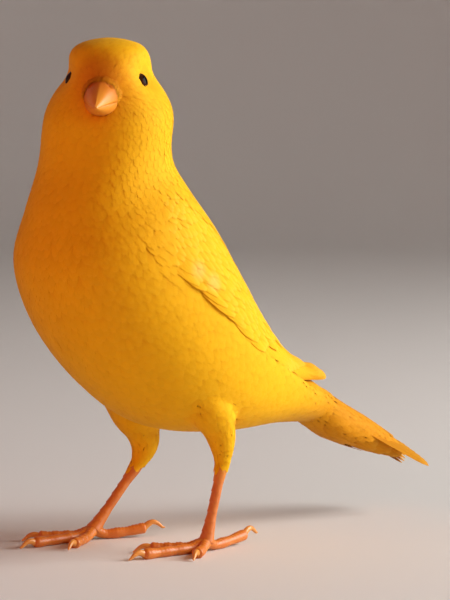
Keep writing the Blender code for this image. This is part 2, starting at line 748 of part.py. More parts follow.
def smooth_path(points, steps):
    """Points along a Catmull-Rom curve through the given ones, in even steps of its parameter."""
    table = np.array([tuple(point) for point in points], float)
    rows = np.vstack([2 * table[0] - table[1], table, 2 * table[-1] - table[-2]])
    path = []
    for value in np.linspace(0, len(table) - 1, steps):
        i = min(int(value), len(table) - 2)
        f = value - i
        a, b, c, d = rows[i], rows[i + 1], rows[i + 2], rows[i + 3]
        path.append(0.5 * (2 * b + (c - a) * f + (2 * a - 5 * b + 4 * c - d) * f ** 2
                           + (3 * b - a - 3 * c + d) * f ** 3))
    return path


def make_thigh(name, leg, group, cutters, material):
    """Feathered thigh, cut clear of the trunk."""
    knots = [(*place(*leg["knee"]), 5.6)]
    knots += [(*place(f, l, z), r) for f, l, z, r in leg["shin"]]
    path = smooth_path(knots, 9)
    thigh = limb(name, [p[:3] for p in path], [p[3] for p in path], group, material, sides=14)
    stations = np.arange(0.0, 7.01, 0.5)
    trunk = loft("trunk_cutter", body_rings(stations, lift=GAP, bed=False), cutters)
    return combine(thigh, [trunk], "DIFFERENCE")


def toe_line(leg, key):
    """Root and tip of a toe on the floor, its plan direction and its length."""
    foot = Vector((leg["foot"][1], -leg["foot"][0], 0.0))
    spot = leg["hind"] if key == "1" else leg["toes"][key]
    tip = Vector((spot[1], -spot[0], 0.0))
    way = tip - foot
    return foot, way.normalized(), way.length


def make_tarsus(name, leg, group, material):
    """Bare shank with its ankle, and the short roots of the four toes."""
    ankle = place(*leg["ankle"])
    foot = Vector((leg["foot"][1], -leg["foot"][0], FOOT_HEIGHT))
    way = (foot - ankle).normalized()
    start = ankle + way * GAP
    path = [start, start + way * 1.2, start.lerp(foot, 0.3), start.lerp(foot, 0.7),
            start.lerp(foot, 0.9), foot]
    radii = [1.25, 1.4, TARSUS_RADIUS, TARSUS_RADIUS, 1.5, 1.75]
    shank = limb(name, path, radii, group, material, floor=0.0)
    roots = []
    for number, key in enumerate("1234"):
        base, along, _ = toe_line(leg, key)
        reach = HIND_START if key == "1" else TOE_START
        high = Vector((0, 0, FOOT_HEIGHT - 0.07 * number))
        low = Vector((0, 0, 1.15))
        points = [base - along * (0.4 + 0.1 * number) + high,
                  base + along * reach * 0.5 + (high + low) / 2,
                  base + along * (reach - GAP) + low]
        roots.append(limb("toe_root", points, [1.2, 1.15, 0.82], group, floor=0.0, end_way=along))
    return combine(shank, roots, "UNION")


def make_toe(side_name, key, leg, group, skin, horn):
    """One toe with its pads, and its claw."""
    base, along, length = toe_line(leg, key)
    hind = key == "1"
    claw_length = HIND_CLAW_LENGTH if hind else CLAW_LENGTH
    start = HIND_START if hind else TOE_START
    end = length - claw_length * 0.85
    path = []
    radii = []
    pads = 2 if hind else 3
    for k in np.linspace(0, 1, 3 * pads + 2):
        spot = base + along * (start + (end - start) * k)
        radius = 1.0 + 0.16 * (1 - cos(2 * pi * pads * k)) / 2 + 0.06 * sin(pi * k)
        if k == 0:
            radius = 0.85
        spot.z = 1.15 - 0.15 * min(1, 3 * k) + (HIND_RISE * k ** 1.5 if hind else 0.0)
        path.append(spot)
        radii.append(radius * (TOE_END if k == 1 else 1.0))
    limb(f"toe_{side_name}_{key}", path, radii, group, skin, floor=0.0, start_way=along)
    end_way = (path[-1] - path[-2]).normalized()
    tip_start = path[-1] + end_way * GAP
    first = tip_start.z
    rise = 1.1 if hind else 0.5
    drop = -0.1 if hind else -0.75
    claw_path = []
    claw_radii = []
    for k in np.linspace(0, 1, 7):
        spot = tip_start + along * claw_length * 0.85 * k
        spot.z = first + rise * sin(pi * min(1.0, k * 1.15)) + drop * k ** 2
        claw_path.append(spot)
        claw_radii.append(0.66 * (1 - k) ** 0.8 + 0.12)
    limb(f"claw_{side_name}_{key}", claw_path, claw_radii, group, horn, sides=6, floor=0.05,
         start_way=end_way)


def centre_on_floor(group):
    """Move the model so that the middle of its box's underside is at the origin."""
    corners = [item.matrix_world @ vertex.co for item in group.objects for vertex in item.data.vertices]
    low_x, high_x = min(c.x for c in corners), max(c.x for c in corners)
    low_y, high_y = min(c.y for c in corners), max(c.y for c in corners)
    shift = Vector((-(low_x + high_x) / 2, -(low_y + high_y) / 2, 0.0))
    for item in group.objects:
        item.location = shift


def main():
    clear_scene()
    bird = new_collection("canary")
    cutters = new_collection("cutters")
    plumage = make_material("plumage", FEATHER_YELLOW, 0.8)
    wing_feathers = make_material("wing_feathers", WING_YELLOW, 0.7)
    tail_feathers = make_material("tail_feathers", TAIL_YELLOW, 0.7)
    leg_skin = make_material("leg_skin", LEG_ORANGE, 0.5)
    claw_horn = make_material("claw_horn", CLAW_HORN, 0.35)
    bill_horn = make_material("bill_horn", BILL_ORANGE, 0.35)
    eye_gloss = make_material("eye_gloss", EYE_BROWN, 0.05)

    make_torso(bird, plumage)
    make_neck(bird, plumage)
    make_head(bird, cutters, plumage)
    make_upper_bill(bird, bill_horn)
    make_lower_bill(bird, bill_horn)
    make_eyes(bird, eye_gloss)
    make_wing("wing_left", 1, bird, cutters, wing_feathers)
    make_wing("wing_right", -1, bird, cutters, wing_feathers)
    make_tail(bird, cutters, tail_feathers)
    for side_name, leg in LEGS.items():
        make_thigh(f"thigh_{side_name}", leg, bird, cutters, plumage)
        make_tarsus(f"tarsus_{side_name}", leg, bird, leg_skin)
        for key in "1234":
            make_toe(side_name, key, leg, bird, leg_skin, claw_horn)
    centre_on_floor(bird)


main()
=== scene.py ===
"""Looks of the standing canary: skin, feathers, bill, eyes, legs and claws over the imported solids.

Sizes and places are in millimetres in the model's own frame, as in the part: the bird heads along
-Y, its left side is +X and up is +Z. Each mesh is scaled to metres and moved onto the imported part.
Distances inside materials are in metres. Pairs named by a place on the bird are (start, width) of
an ease, as rise() takes them.
"""
from itertools import product
from math import cos, pi, radians, sin

import bpy
import numpy as np
from mathutils import Matrix, Vector
from mathutils.bvhtree import BVHTree
from mathutils.kdtree import KDTree


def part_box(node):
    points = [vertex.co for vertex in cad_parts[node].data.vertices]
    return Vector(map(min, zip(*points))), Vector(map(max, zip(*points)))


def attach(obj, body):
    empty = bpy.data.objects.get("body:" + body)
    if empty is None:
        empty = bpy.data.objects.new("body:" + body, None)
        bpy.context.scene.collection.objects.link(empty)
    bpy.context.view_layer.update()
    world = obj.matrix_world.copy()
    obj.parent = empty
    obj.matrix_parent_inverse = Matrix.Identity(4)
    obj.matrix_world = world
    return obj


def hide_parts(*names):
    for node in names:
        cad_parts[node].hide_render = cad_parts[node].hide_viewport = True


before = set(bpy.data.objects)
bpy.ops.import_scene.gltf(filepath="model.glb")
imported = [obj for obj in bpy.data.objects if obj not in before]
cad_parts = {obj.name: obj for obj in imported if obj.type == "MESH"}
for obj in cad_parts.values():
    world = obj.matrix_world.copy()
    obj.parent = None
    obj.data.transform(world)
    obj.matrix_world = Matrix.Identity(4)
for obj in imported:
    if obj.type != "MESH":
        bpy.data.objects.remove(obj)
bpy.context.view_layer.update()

MM = 0.001
UP = np.array([0.0, 0.0, 1.0])
SIDES = {"left": 1, "right": -1}
SEED = 11

# The form of the feathered bird, as the part has it. Each station is a slice of the plumage: where
# its chord meets the belly and the back (forward, up), its half width and its turn to the left.
STATIONS = (
    ("tail_root", -42.6, 23.0, -50.0, 28.8, 5.5, 0),
    ("vent", -31.0, 23.6, -42.3, 32.6, 10.0, 0),
    ("rump", -15.5, 23.2, -33.2, 40.2, 14.8, 0),
    ("loin", 0.4, 25.6, -24.2, 49.2, 18.7, 0),
    ("back", 13.3, 34.2, -17.0, 58.8, 20.7, 0),
    ("breast", 23.6, 45.8, -10.4, 68.2, 20.6, 0),
    ("shoulder", 28.8, 58.0, -4.6, 75.4, 18.7, 0),
    ("collar", 27.6, 69.0, -1.6, 81.0, 14.5, 2),
    ("throat", 24.7, 78.0, -1.0, 86.0, 13.2, 10),
    ("nape", 23.7, 84.0, -1.4, 90.0, 13.1, 24),
    ("cheek", 23.4, 88.5, -1.5, 93.0, 12.6, 36),
    ("gape", 22.2, 92.4, -1.4, 95.6, 11.2, 43),
    ("eye", 21.2, 97.2, -1.0, 98.6, 8.7, 43),
    ("brow", 19.6, 101.4, -0.1, 101.9, 7.85, 43),
    ("forehead", 16.6, 104.05, 3.2, 104.25, 5.8, 43),
    ("crown", 10.6, 105.3, 10.6, 105.3, 0.0, 43),
)
BODY = np.array([station[1:] for station in STATIONS], float)
WING = BODY.copy()
WING[0] = (-22.9, 28.0, -49.2, 34.0, 7.8, 0)
WING[1] = (-22.3, 26.3, -41.7, 37.2, 10.3, 0)
SECTION_POWER = 2.2
NECK_PIVOT_FORWARD = 11.0
NECK_PIVOT_LEFT = 0.5
HEAD_TURN = 43.0
FULL_PIVOT_SHIFT = 0.75
STEP_T = 0.001
STEP_ANGLE = 0.1
EYE_STATION = 12.04
EYE_TILT = 0.03
EYE_ANGLE = 115.5
# Eye dent, brow and lore: station, angle, height, reach in stations and in degrees.
FACE_RELIEF = (
    (12.04, 117.0, -0.6, 0.75, 24.0),
    (13.2, 118.0, 0.35, 0.45, 26.0),
    (11.6, 158.0, -0.35, 0.6, 12.0),
)
EYE_RADIUS = 2.3
EYE_PROUD = 0.45
WING_FRONT = 6.8
WING_REAR = 0.1
WING_UPPER_EDGE = ((0.1, 14), (1, 8), (2, 9), (3, 14), (4, 23), (5, 33), (6, 45), (6.8, 58))
WING_LOWER_EDGE = ((0.1, 46), (1, 58), (1.6, 62), (2.35, 68), (3.1, 75), (3.85, 79),
                   (4.5, 86), (4.95, 90), (5.4, 93), (6.3, 95), (6.8, 90))
BED_DEPTH = 3.2
BED_FRONT = (7.25, -0.25)
BED_REAR = (0.9, 0.8)
BED_RUMP = (4.2, -1.4)
BED_MARGIN = 4.0
BED_RAMP = 10.0
CROWN_END = 14.995


def smooth_step(value):
    """Ease from 0 to 1."""
    value = np.clip(value, 0.0, 1.0)
    return value * value * (3 - 2 * value)


def rise(value, start, width):
    """0 up to start, easing to 1 over a width. A negative width falls from 1 to 0 up to start."""
    return smooth_step((value - start) / width)


def bell(value, centre, width):
    """1 at the centre, falling off on both sides."""
    return np.exp(-((value - centre) / width) ** 2)


def unit(vectors):
    """Vectors brought to length 1."""
    return vectors / (np.linalg.norm(vectors, axis=-1, keepdims=True) + 1e-12)


def catmull(rows, i, f):
    """Catmull-Rom blend of four rows, at a share f between the second and the third."""
    a, b, c, d = rows[i], rows[i + 1], rows[i + 2], rows[i + 3]
    return 0.5 * (2 * b + (c - a) * f + (2 * a - 5 * b + 4 * c - d) * f ** 2
                  + (3 * b - a - 3 * c + d) * f ** 3)


def spline(table, t):
    """Rows of a station table between its stations, closing in a smooth dome over the crown."""
    dome = table[-2].copy()
    dome[[0, 1, 2, 3]] = table[-2][[2, 3, 0, 1]]
    dome[4] = -table[-2][4]
    rows = np.vstack([2 * table[0] - table[1], table, dome])
    t = np.atleast_1d(np.asarray(t, float))
    i = np.clip(np.floor(t).astype(int), 0, len(table) - 2)
    return catmull(rows, i, (t - i)[:, None])


def section_shape(angle, rounding=2 / SECTION_POWER):
    """Shares of a slice's height and half width round a rounded box."""
    return (np.sign(np.cos(angle)) * np.abs(np.cos(angle)) ** rounding,
            np.sign(np.sin(angle)) * np.abs(np.sin(angle)) ** rounding)


def section_points(table, t, angle):
    """Points on a station table's slices. Angle 0 is the back, 90 the left side, 180 the belly."""
    t, angle = np.broadcast_arrays(np.atleast_1d(np.asarray(t, float)), np.radians(angle))
    belly_f, belly_z, back_f, back_z, half, turn = spline(table, t.ravel()).T
    along, across = section_shape(angle.ravel())
    forward = (belly_f + back_f) / 2 + (back_f - belly_f) / 2 * along
    up = (belly_z + back_z) / 2 + (back_z - belly_z) / 2 * along
    side = half * across
    turn = np.radians(turn)
    reach = forward - NECK_PIVOT_FORWARD
    shift = NECK_PIVOT_LEFT * np.clip(turn / FULL_PIVOT_SHIFT, 0, 1)
    ahead = NECK_PIVOT_FORWARD + reach * np.cos(turn) - side * np.sin(turn)
    left = shift + reach * np.sin(turn) + side * np.cos(turn)
    return np.stack([left, -ahead, up], -1)


def surface_normals(table, t, angle):
    """Outward unit normals on a station table."""
    t, angle = np.broadcast_arrays(np.asarray(t, float), np.asarray(angle, float))
    along = section_points(table, t + STEP_T, angle) - section_points(table, t - STEP_T, angle)
    around = section_points(table, t, angle + STEP_ANGLE) - section_points(table, t, angle - STEP_ANGLE)
    normal = np.cross(around, along)
    normal /= np.linalg.norm(normal, axis=1)[:, None] + 1e-12
    back = section_points(table, t, np.zeros_like(angle))
    belly = section_points(table, t, np.full_like(angle, 180.0))
    here = section_points(table, t, angle)
    return normal * np.sign(((here - (back + belly) / 2) * normal).sum(1))[:, None]


def lifted_points(table, t, angle, lift):
    """Points at a height over a station table's surface."""
    rows = np.broadcast_arrays(np.atleast_1d(np.asarray(t, float)), angle, lift)
    t, angle, lift = (row.ravel() for row in rows)
    return section_points(table, t, angle) + surface_normals(table, t, angle) * lift[:, None]


def fold_angle(angle):
    """Angle from the back, 0 to 180, on either side."""
    return np.abs((np.asarray(angle) + 180.0) % 360.0 - 180.0)


def face_relief(t, angle):
    """Height of the eye dents, brows and lores."""
    fold = fold_angle(angle)
    lift = np.zeros(np.broadcast(t, fold).shape)
    for station, spot, height, reach_t, reach_a in FACE_RELIEF:
        lift = lift + height * np.exp(-((t - station) / reach_t) ** 2 - ((fold - spot) / reach_a) ** 2)
    return lift


def wing_edges(t):
    """Angles of the folded wing's upper and lower edges at a station."""
    return np.interp(t, *zip(*WING_UPPER_EDGE)), np.interp(t, *zip(*WING_LOWER_EDGE))


def wing_bed(t, angle):
    """Depth of the bed that a folded wing lies in."""
    fold = fold_angle(angle)
    upper, lower = wing_edges(t)
    above = smooth_step((fold - upper + BED_MARGIN + BED_RAMP) / BED_RAMP)
    below = smooth_step((lower + BED_MARGIN + BED_RAMP - fold) / BED_RAMP)
    above = np.maximum(above, rise(t, *BED_RUMP))
    return BED_DEPTH * above * below * rise(t, *BED_FRONT) * rise(t, *BED_REAR)


def at(forward, left, up):
    """A point from (forward, left, up)."""
    return np.array([left, -forward, up], float)


def head_place(forward, side, up):
    """A point given in the turned head's own frame."""
    turn = radians(HEAD_TURN)
    ahead = NECK_PIVOT_FORWARD + forward * cos(turn) - side * sin(turn)
    left = NECK_PIVOT_LEFT + forward * sin(turn) + side * cos(turn)
    return np.array([left, -ahead, up])


def eye_place(side):
    """Centre of an eyeball and the way it looks."""
    station = EYE_STATION - EYE_TILT * side
    lift = face_relief(station, np.array([EYE_ANGLE]))[0]
    angle = np.array([side * EYE_ANGLE])
    normal = surface_normals(BODY, np.array([station]), angle)[0]
    surface = lifted_points(BODY, station, angle, lift)[0]
    return surface + normal * (EYE_PROUD - EYE_RADIUS), normal


def model_shift():
    """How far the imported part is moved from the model's own frame, in metres."""
    low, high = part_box("eye_left")
    return np.array((low + high) / 2) - eye_place(1)[0] * MM


SHIFT = model_shift()


def to_metres(points):
    """Millimetres in the model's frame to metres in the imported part's."""
    return np.asarray(points, float) * MM + SHIFT


# Meshes.

def link(name, data):
    """A new object in the scene."""
    item = bpy.data.objects.new(name, data)
    bpy.context.scene.collection.objects.link(item)
    return item


def make_mesh(name, points, loops, sizes, material):
    """A mesh object from points in millimetres, a flat corner list and corner counts."""
    mesh = bpy.data.meshes.new(name)
    mesh.vertices.add(len(points))
    mesh.vertices.foreach_set("co", to_metres(points).astype(np.float32).ravel())
    mesh.loops.add(len(loops))
    mesh.loops.foreach_set("vertex_index", np.asarray(loops, np.int32))
    mesh.polygons.add(len(sizes))
    starts = np.concatenate([[0], np.cumsum(sizes)[:-1]]).astype(np.int32)
    mesh.polygons.foreach_set("loop_start", starts)
    mesh.update(calc_edges=True)
    mesh.shade_smooth()
    mesh.materials.append(material)
    return link(name, mesh)


def flat_corners(faces):
    """Corner list and corner counts of a list of faces."""
    return [corner for face in faces for corner in face], [len(face) for face in faces]


def slab_faces(base, rows, across):
    """Faces of a closed thin slab between two grids of points, the upper grid first."""
    layer = rows * across
    faces = []
    for a in (base + i * across + j for i in range(rows - 1) for j in range(across - 1)):
        quad = (a, a + across, a + across + 1, a + 1)
        faces += [quad, tuple(corner + layer for corner in reversed(quad))]
    rim = list(range(across)) + [i * across + across - 1 for i in range(1, rows)]
    rim += [(rows - 1) * across + j for j in range(across - 2, -1, -1)]
    rim += [i * across for i in range(rows - 2, 0, -1)]
    for a, b in zip(rim, rim[1:] + rim[:1]):
        faces.append((base + a, base + b, base + b + layer, base + a + layer))
    return faces


def ring_faces(base, rows, around, closed=False):
    """Quads between rings of points, each ring joined to the next one."""
    faces = []
    for row, k in product(range(rows if closed else rows - 1), range(around)):
        here, after = base + row * around, base + (row + 1) % rows * around
        onward = (k + 1) % around
        faces.append((here + k, here + onward, after + onward, after + k))
    return faces


def make_lofts(name, lofts, material):
    """One piece from several closed lofts, each a list of rings with the same number of points."""
    points = []
    faces = []
    for rings in lofts:
        rings = np.asarray(rings, float)
        middle = rings.mean(axis=1)
        first = rings[len(rings) // 2] - middle[len(rings) // 2]
        turn = np.cross(first[0], first[len(first) // 4])
        if np.dot(turn, middle[-1] - middle[0]) < 0:
            rings = rings[:, ::-1]
        base, around = len(points), rings.shape[1]
        last = base + (len(rings) - 1) * around
        faces += ring_faces(base, len(rings), around)
        faces += [tuple(range(base + around - 1, base - 1, -1)), tuple(range(last, last + around))]
        points += list(rings.reshape(-1, 3))
    return make_mesh(name, points, *flat_corners(faces), material)


def smooth_path(points, steps):
    """Points along a Catmull-Rom curve through the given ones."""
    table = np.array([tuple(point) for point in points], float)
    rows = np.vstack([2 * table[0] - table[1], table, 2 * table[-1] - table[-2]])
    path = []
    for value in np.linspace(0, len(table) - 1, steps):
        i = min(int(value), len(table) - 2)
        path.append(catmull(rows, i, value - i))
    return np.array(path)


def circle(count):
    """Angles evenly round a circle."""
    return np.arange(count) * 2 * pi / count


def tube_rings(path, radii, sides, relief=None, floor=None):
    """Rings round a path. relief gives a radius' change from (share along, angle from the top)."""
    path = np.asarray(path, float)
    ways = unit(np.gradient(path, axis=0))
    upright = abs(ways[:, 2]).mean() > 0.8
    guide = np.array([0.0, -1.0, 0.0]) if upright else UP
    rings = []
    for k, (centre, way) in enumerate(zip(path, ways)):
        top = unit(guide - way * np.dot(guide, way))
        side = np.cross(way, top)
        ring = []
        for angle in circle(sides):
            radius = radii[k]
            if relief:
                radius = radius + relief(k / (len(path) - 1), angle)
            point = centre + (top * cos(angle) + side * sin(angle)) * radius
            if floor is not None:
                point[2] = max(point[2], floor)
            ring.append(point)
        rings.append(ring)
    return rings


# Materials.

YELLOW = (0.93, 0.49, 0.004, 1.0)
DEEP_YELLOW = (0.92, 0.43, 0.003, 1.0)
BREAST_YELLOW = (0.92, 0.44, 0.004, 1.0)
# Deeper orange round the bill: partly the plumage's own colour, partly painted shade over the face.
FACE_ORANGE_AND_SHADE = (0.84, 0.27, 0.006, 1.0)
# Painted shade: dark orange over the forehead and lores above the bill, towards the bird's right side.
FOREHEAD_PAINTED_SHADE = (0.56, 0.15, 0.006, 1.0)
# Painted shade: a duller amber over the tail, fading up the rump.
TAIL_PAINTED_SHADE = (0.61, 0.215, 0.003, 1.0)
# Painted highlight: a pale patch on the raised fold of each folded wing.
WING_FOLD_PAINTED_HIGHLIGHT = (0.98, 0.64, 0.24, 1.0)
PALE_EDGE = (0.96, 0.62, 0.10, 1.0)
FEATHER_ROOT = (0.96, 0.88, 0.8, 1.0)
SKIN_SHADE = (1.0, 0.95, 0.9, 1.0)
SHEEN_GOLD = (1.0, 0.78, 0.35, 1.0)
BILL_ORANGE = (0.85, 0.34, 0.035, 1.0)
# The bill's root: partly the horn's own red, partly painted shade.
BILL_ROOT_RED_AND_SHADE = (0.60, 0.14, 0.010, 1.0)
BILL_STREAK = (0.70, 0.22, 0.02, 1.0)
IRIS = (0.045, 0.014, 0.006, 1.0)
PUPIL = (0.004, 0.002, 0.002, 1.0)
LEG_RED = (0.62, 0.15, 0.018, 1.0)
LEG_ORANGE = (0.80, 0.27, 0.03, 1.0)
LEG_GRAIN = (0.46, 0.09, 0.012, 1.0)
ANKLE_YELLOW = (0.88, 0.36, 0.010, 1.0)
CLAW_ROOT = (0.66, 0.22, 0.03, 1.0)
CLAW_PALE = (0.84, 0.38, 0.08, 1.0)
# Lids: dark brown, painted shade round the eye.
LID_PAINTED_SHADE = (0.16, 0.045, 0.008, 1.0)
LID_PAINTED_SHADE_PALER = (0.28, 0.09, 0.012, 1.0)
FLOOR_LIGHT = (0.80, 0.79, 0.77, 1.0)
FLOOR_GREY = (0.74, 0.73, 0.71, 1.0)
# Feathers, in shares of their length: the end of the roots' darker tint, partly the feathers' own base
# colour and partly painted shade under the feathers that overlap them; the start of the pale tip.
ROOT_SHADE = (0.25, 0.75)
TIP_PALENESS = (0.8, 1.0)
BARB_BRIGHTNESS = (0.09, 0.955)
# The wing's painted highlight on its fold: places from wrist to tip, from upper to lower edge, and height.
WING_HIGHLIGHT_SPOTS = ((0.265, 0.86, 0.3), (0.315, 0.84, 0.3))


def feed(tree, item, inputs):
    """Set or link a shader node's inputs."""
    for name, value in inputs.items():
        if isinstance(value, bpy.types.NodeSocket):
            tree.links.new(value, item.inputs[name])
        else:
            item.inputs[name].default_value = value
    return item


def add(tree, kind, inputs=None, **settings):
    """First output of a new shader node with its settings and inputs."""
    item = tree.nodes.new("ShaderNode" + kind)
    for key, value in settings.items():
        setattr(item, key, value)
    return feed(tree, item, inputs or {})


def object_place(tree):
    """A shaded point's place in its object, in metres."""
    return add(tree, "TexCoord").outputs["Object"]


def new_material(name):
    """An empty node material and its tree."""
    material = bpy.data.materials.new(name)
    material.use_nodes = True
    return material, material.node_tree


def dress(material, inputs):
    """The material with its Principled shader's inputs set or linked."""
    feed(material.node_tree, material.node_tree.nodes["Principled BSDF"], inputs)
    return material


def math(tree, operation, first, second=0.0, third=0.0):
    """Output of one Math node."""
    return add(tree, "Math", {0: first, 1: second, 2: third}, operation=operation).outputs[0]


def mix(tree, share, first, second, blend="MIX"):
    """Output of one colour mix."""
    inputs = {"Fac": share, "Color1": first, "Color2": second}
    return add(tree, "MixRGB", inputs, blend_type=blend).outputs["Color"]


def cover(tree, colour, other, share, weight):
    """A colour partly covered by another."""
    return mix(tree, math(tree, "MULTIPLY", share, weight), colour, other)


def fade(tree, value, start, end):
    """1 below start, easing to 0 at end."""
    inputs = {"Value": value, "From Min": start, "From Max": end, "To Min": 1.0, "To Max": 0.0}
    return add(tree, "MapRange", inputs, interpolation_type="SMOOTHSTEP").outputs["Result"]


def near(tree, place, point, start, end):
    """1 close to a point given in millimetres, fading between two distances from it."""
    inputs = {0: place, 1: tuple(to_metres(point))}
    gap = add(tree, "VectorMath", inputs, operation="DISTANCE").outputs["Value"]
    return fade(tree, gap, start, end)


def noise(tree, place, scale, detail=2.0):
    """Noise over the object's own coordinates."""
    return add(tree, "TexNoise", {"Vector": place, "Scale": scale, "Detail": detail}).outputs["Fac"]


def bump(tree, height, strength, distance):
    """Normal of a bump."""
    inputs = {"Height": height, "Strength": strength, "Distance": distance}
    return add(tree, "Bump", inputs).outputs["Normal"]


def plumage_colour_and_painted_light():
    """Colour of skin and coat alike: clear yellow, deeper orange round the bill and on the breast, the
    orange round the bill partly painted shade; painted shade over the forehead and the tail, and a painted
    highlight on each wing's fold.
    """
    group = bpy.data.node_groups.new("plumage_colour_and_painted_light", "ShaderNodeTree")
    group.interface.new_socket("Colour", in_out="OUTPUT", socket_type="NodeSocketColor")
    out = group.nodes.new("NodeGroupOutput")
    place = object_place(group)
    # Colour, weight, centre, and the distances between which the mark fades.
    marks = [(BREAST_YELLOW, 0.55, section_points(BODY, 6.0, 180.0)[0], 0.004, 0.034),
             # Round the bill: the plumage's own deeper orange and painted shade.
             (FACE_ORANGE_AND_SHADE, 0.75, head_place(10.5, 0.0, 95.0), 0.002, 0.0105),
             # Painted shade over the forehead and lores.
             (FOREHEAD_PAINTED_SHADE, 0.62, head_place(9.0, -0.8, 97.8), 0.0018, 0.0062),
             # Painted shade over the tail and rump.
             (TAIL_PAINTED_SHADE, 0.9, tail_place(22.0, 0.0, -1.0), 0.012, 0.050)]
    # Painted highlight on each wing's fold.
    for side, spot in product(SIDES.values(), WING_HIGHLIGHT_SPOTS):
        marks.append((WING_FOLD_PAINTED_HIGHLIGHT, 0.36, wing_surface(side)(*spot), 0.0002, 0.0030))
    colour = YELLOW
    for tint, weight, *where in marks:
        colour = cover(group, colour, tint, near(group, place, *where), weight)
    colour = cover(group, colour, DEEP_YELLOW, noise(group, place, 160.0), 0.22)
    group.links.new(colour, out.inputs["Colour"])
    return group


def feather_material(name, markings_and_painted_light, pale_edges):
    """Feathers: the shared colour with its painted shade and highlight, each barb a little its own tone,
    tips paler than roots.
    """
    material, tree = new_material(name)
    markings_and_painted_light = add(tree, "Group", node_tree=markings_and_painted_light).outputs["Colour"]
    tone, reach = (add(tree, "Attribute", attribute_name=key).outputs["Fac"] for key in ("tone", "reach"))
    # Darker roots: partly the feathers' own base colour, partly painted shade under the overlapping
    # feathers.
    root_shade = mix(tree, 1.0, markings_and_painted_light, FEATHER_ROOT, "MULTIPLY")
    colour = mix(tree, fade(tree, reach, *ROOT_SHADE), markings_and_painted_light, root_shade)
    at_tip = math(tree, "SUBTRACT", 1.0, fade(tree, reach, *TIP_PALENESS))
    colour = cover(tree, colour, PALE_EDGE, at_tip, pale_edges)
    value = math(tree, "MULTIPLY_ADD", tone, *BARB_BRIGHTNESS)
    colour = add(tree, "HueSaturation", {"Value": value, "Color": colour}).outputs["Color"]
    return dress(material, {"Base Color": colour, "Roughness": 0.7, "Specular IOR Level": 0.12,
                            "Sheen Weight": 0.04, "Sheen Roughness": 0.45, "Sheen Tint": SHEEN_GOLD})


def skin_material(markings_and_painted_light):
    """Down and feather roots that show between the tips, with the coat's own colour and its painted shade
    and highlight.
    """
    material, tree = new_material("skin_down")
    place = object_place(tree)
    markings_and_painted_light = add(tree, "Group", node_tree=markings_and_painted_light).outputs["Colour"]
    colour = mix(tree, 1.0, markings_and_painted_light, SKIN_SHADE, "MULTIPLY")
    fluff = bump(tree, noise(tree, place, 2600.0, 4.0), 0.5, 0.0002)
    return dress(material, {"Base Color": colour, "Normal": fluff, "Roughness": 0.8,
                            "Specular IOR Level": 0.15})


def bill_material():
    """Horn: darker and redder at its root, partly its own colour and partly painted shade on the root's
    shaded side; paler to the tip, faint growth lines.
    """
    material, tree = new_material("bill_horn")
    place = object_place(tree)
    # Darker, redder root: the horn's own colour and painted shade, centred a little towards the bird's right
    # side.
    at_root = near(tree, place, head_place(9.5, -0.8, 95.5), 0.0015, 0.0090)
    streaks = noise(tree, place, 900.0, 3.0)
    colour = cover(tree, mix(tree, at_root, BILL_ORANGE, BILL_ROOT_RED_AND_SHADE), BILL_STREAK, streaks, 0.3)
    return dress(material, {"Base Color": colour, "Normal": bump(tree, streaks, 0.12, 0.0001),
                            "Roughness": 0.36, "Specular IOR Level": 0.25, "Subsurface Weight": 0.03,
                            "Subsurface Radius": (0.0012, 0.0005, 0.0002), "Subsurface Scale": 1.0})


def eye_material():
    """Very dark brown iris round a black pupil under a clear wet surface."""
    material, tree = new_material("eye_gloss")
    place = object_place(tree)
    pupils = [near(tree, place, centre + facing * EYE_RADIUS, 0.0008, 0.00095) for centre, facing in EYES]
    colour = mix(tree, math(tree, "MAXIMUM", *pupils), IRIS, PUPIL)
    return dress(material, {"Base Color": colour, "Roughness": 0.08, "Specular IOR Level": 0.03})


def leg_material():
    """Orange scaled skin, darker between the plates, yellower where the feathers start."""
    material, tree = new_material("leg_skin")
    place = object_place(tree)
    grain = noise(tree, place, 2400.0, 3.0)
    colour = mix(tree, noise(tree, place, 260.0), LEG_RED, LEG_ORANGE)
    colour = cover(tree, colour, LEG_GRAIN, grain, 0.35)
    height = add(tree, "SeparateXYZ", {"Vector": place}).outputs["Z"]
    colour = mix(tree, fade(tree, height, 0.013, 0.0205), ANKLE_YELLOW, colour)
    return dress(material, {"Base Color": colour, "Normal": bump(tree, grain, 0.25, 0.00012),
                            "Roughness": 0.42, "Subsurface Weight": 0.12,
                            "Subsurface Radius": (0.0012, 0.0004, 0.0002), "Subsurface Scale": 1.0})


def grained_material(name, scale, detail, first, second, roughness, weight=1.0):
    """A material of two tones in one grain."""
    material, tree = new_material(name)
    place = object_place(tree)
    colour = cover(tree, first, second, noise(tree, place, scale, detail), weight)
    return dress(material, {"Base Color": colour, "Roughness": roughness})


# Feather templates, in shares of a feather's length (0 to 1) and half width (-1 to 1). Each kind
# has its first seed, its number of templates, and what make_template takes.
NOMINAL_LENGTH = 6.0
NOMINAL_HALF = 2.0
BLUNT = 2.2
QUILL_HALF = 0.72
BARB_TAPER = 0.55
BARB_RISE = 0.02
BARB_END = 0.995
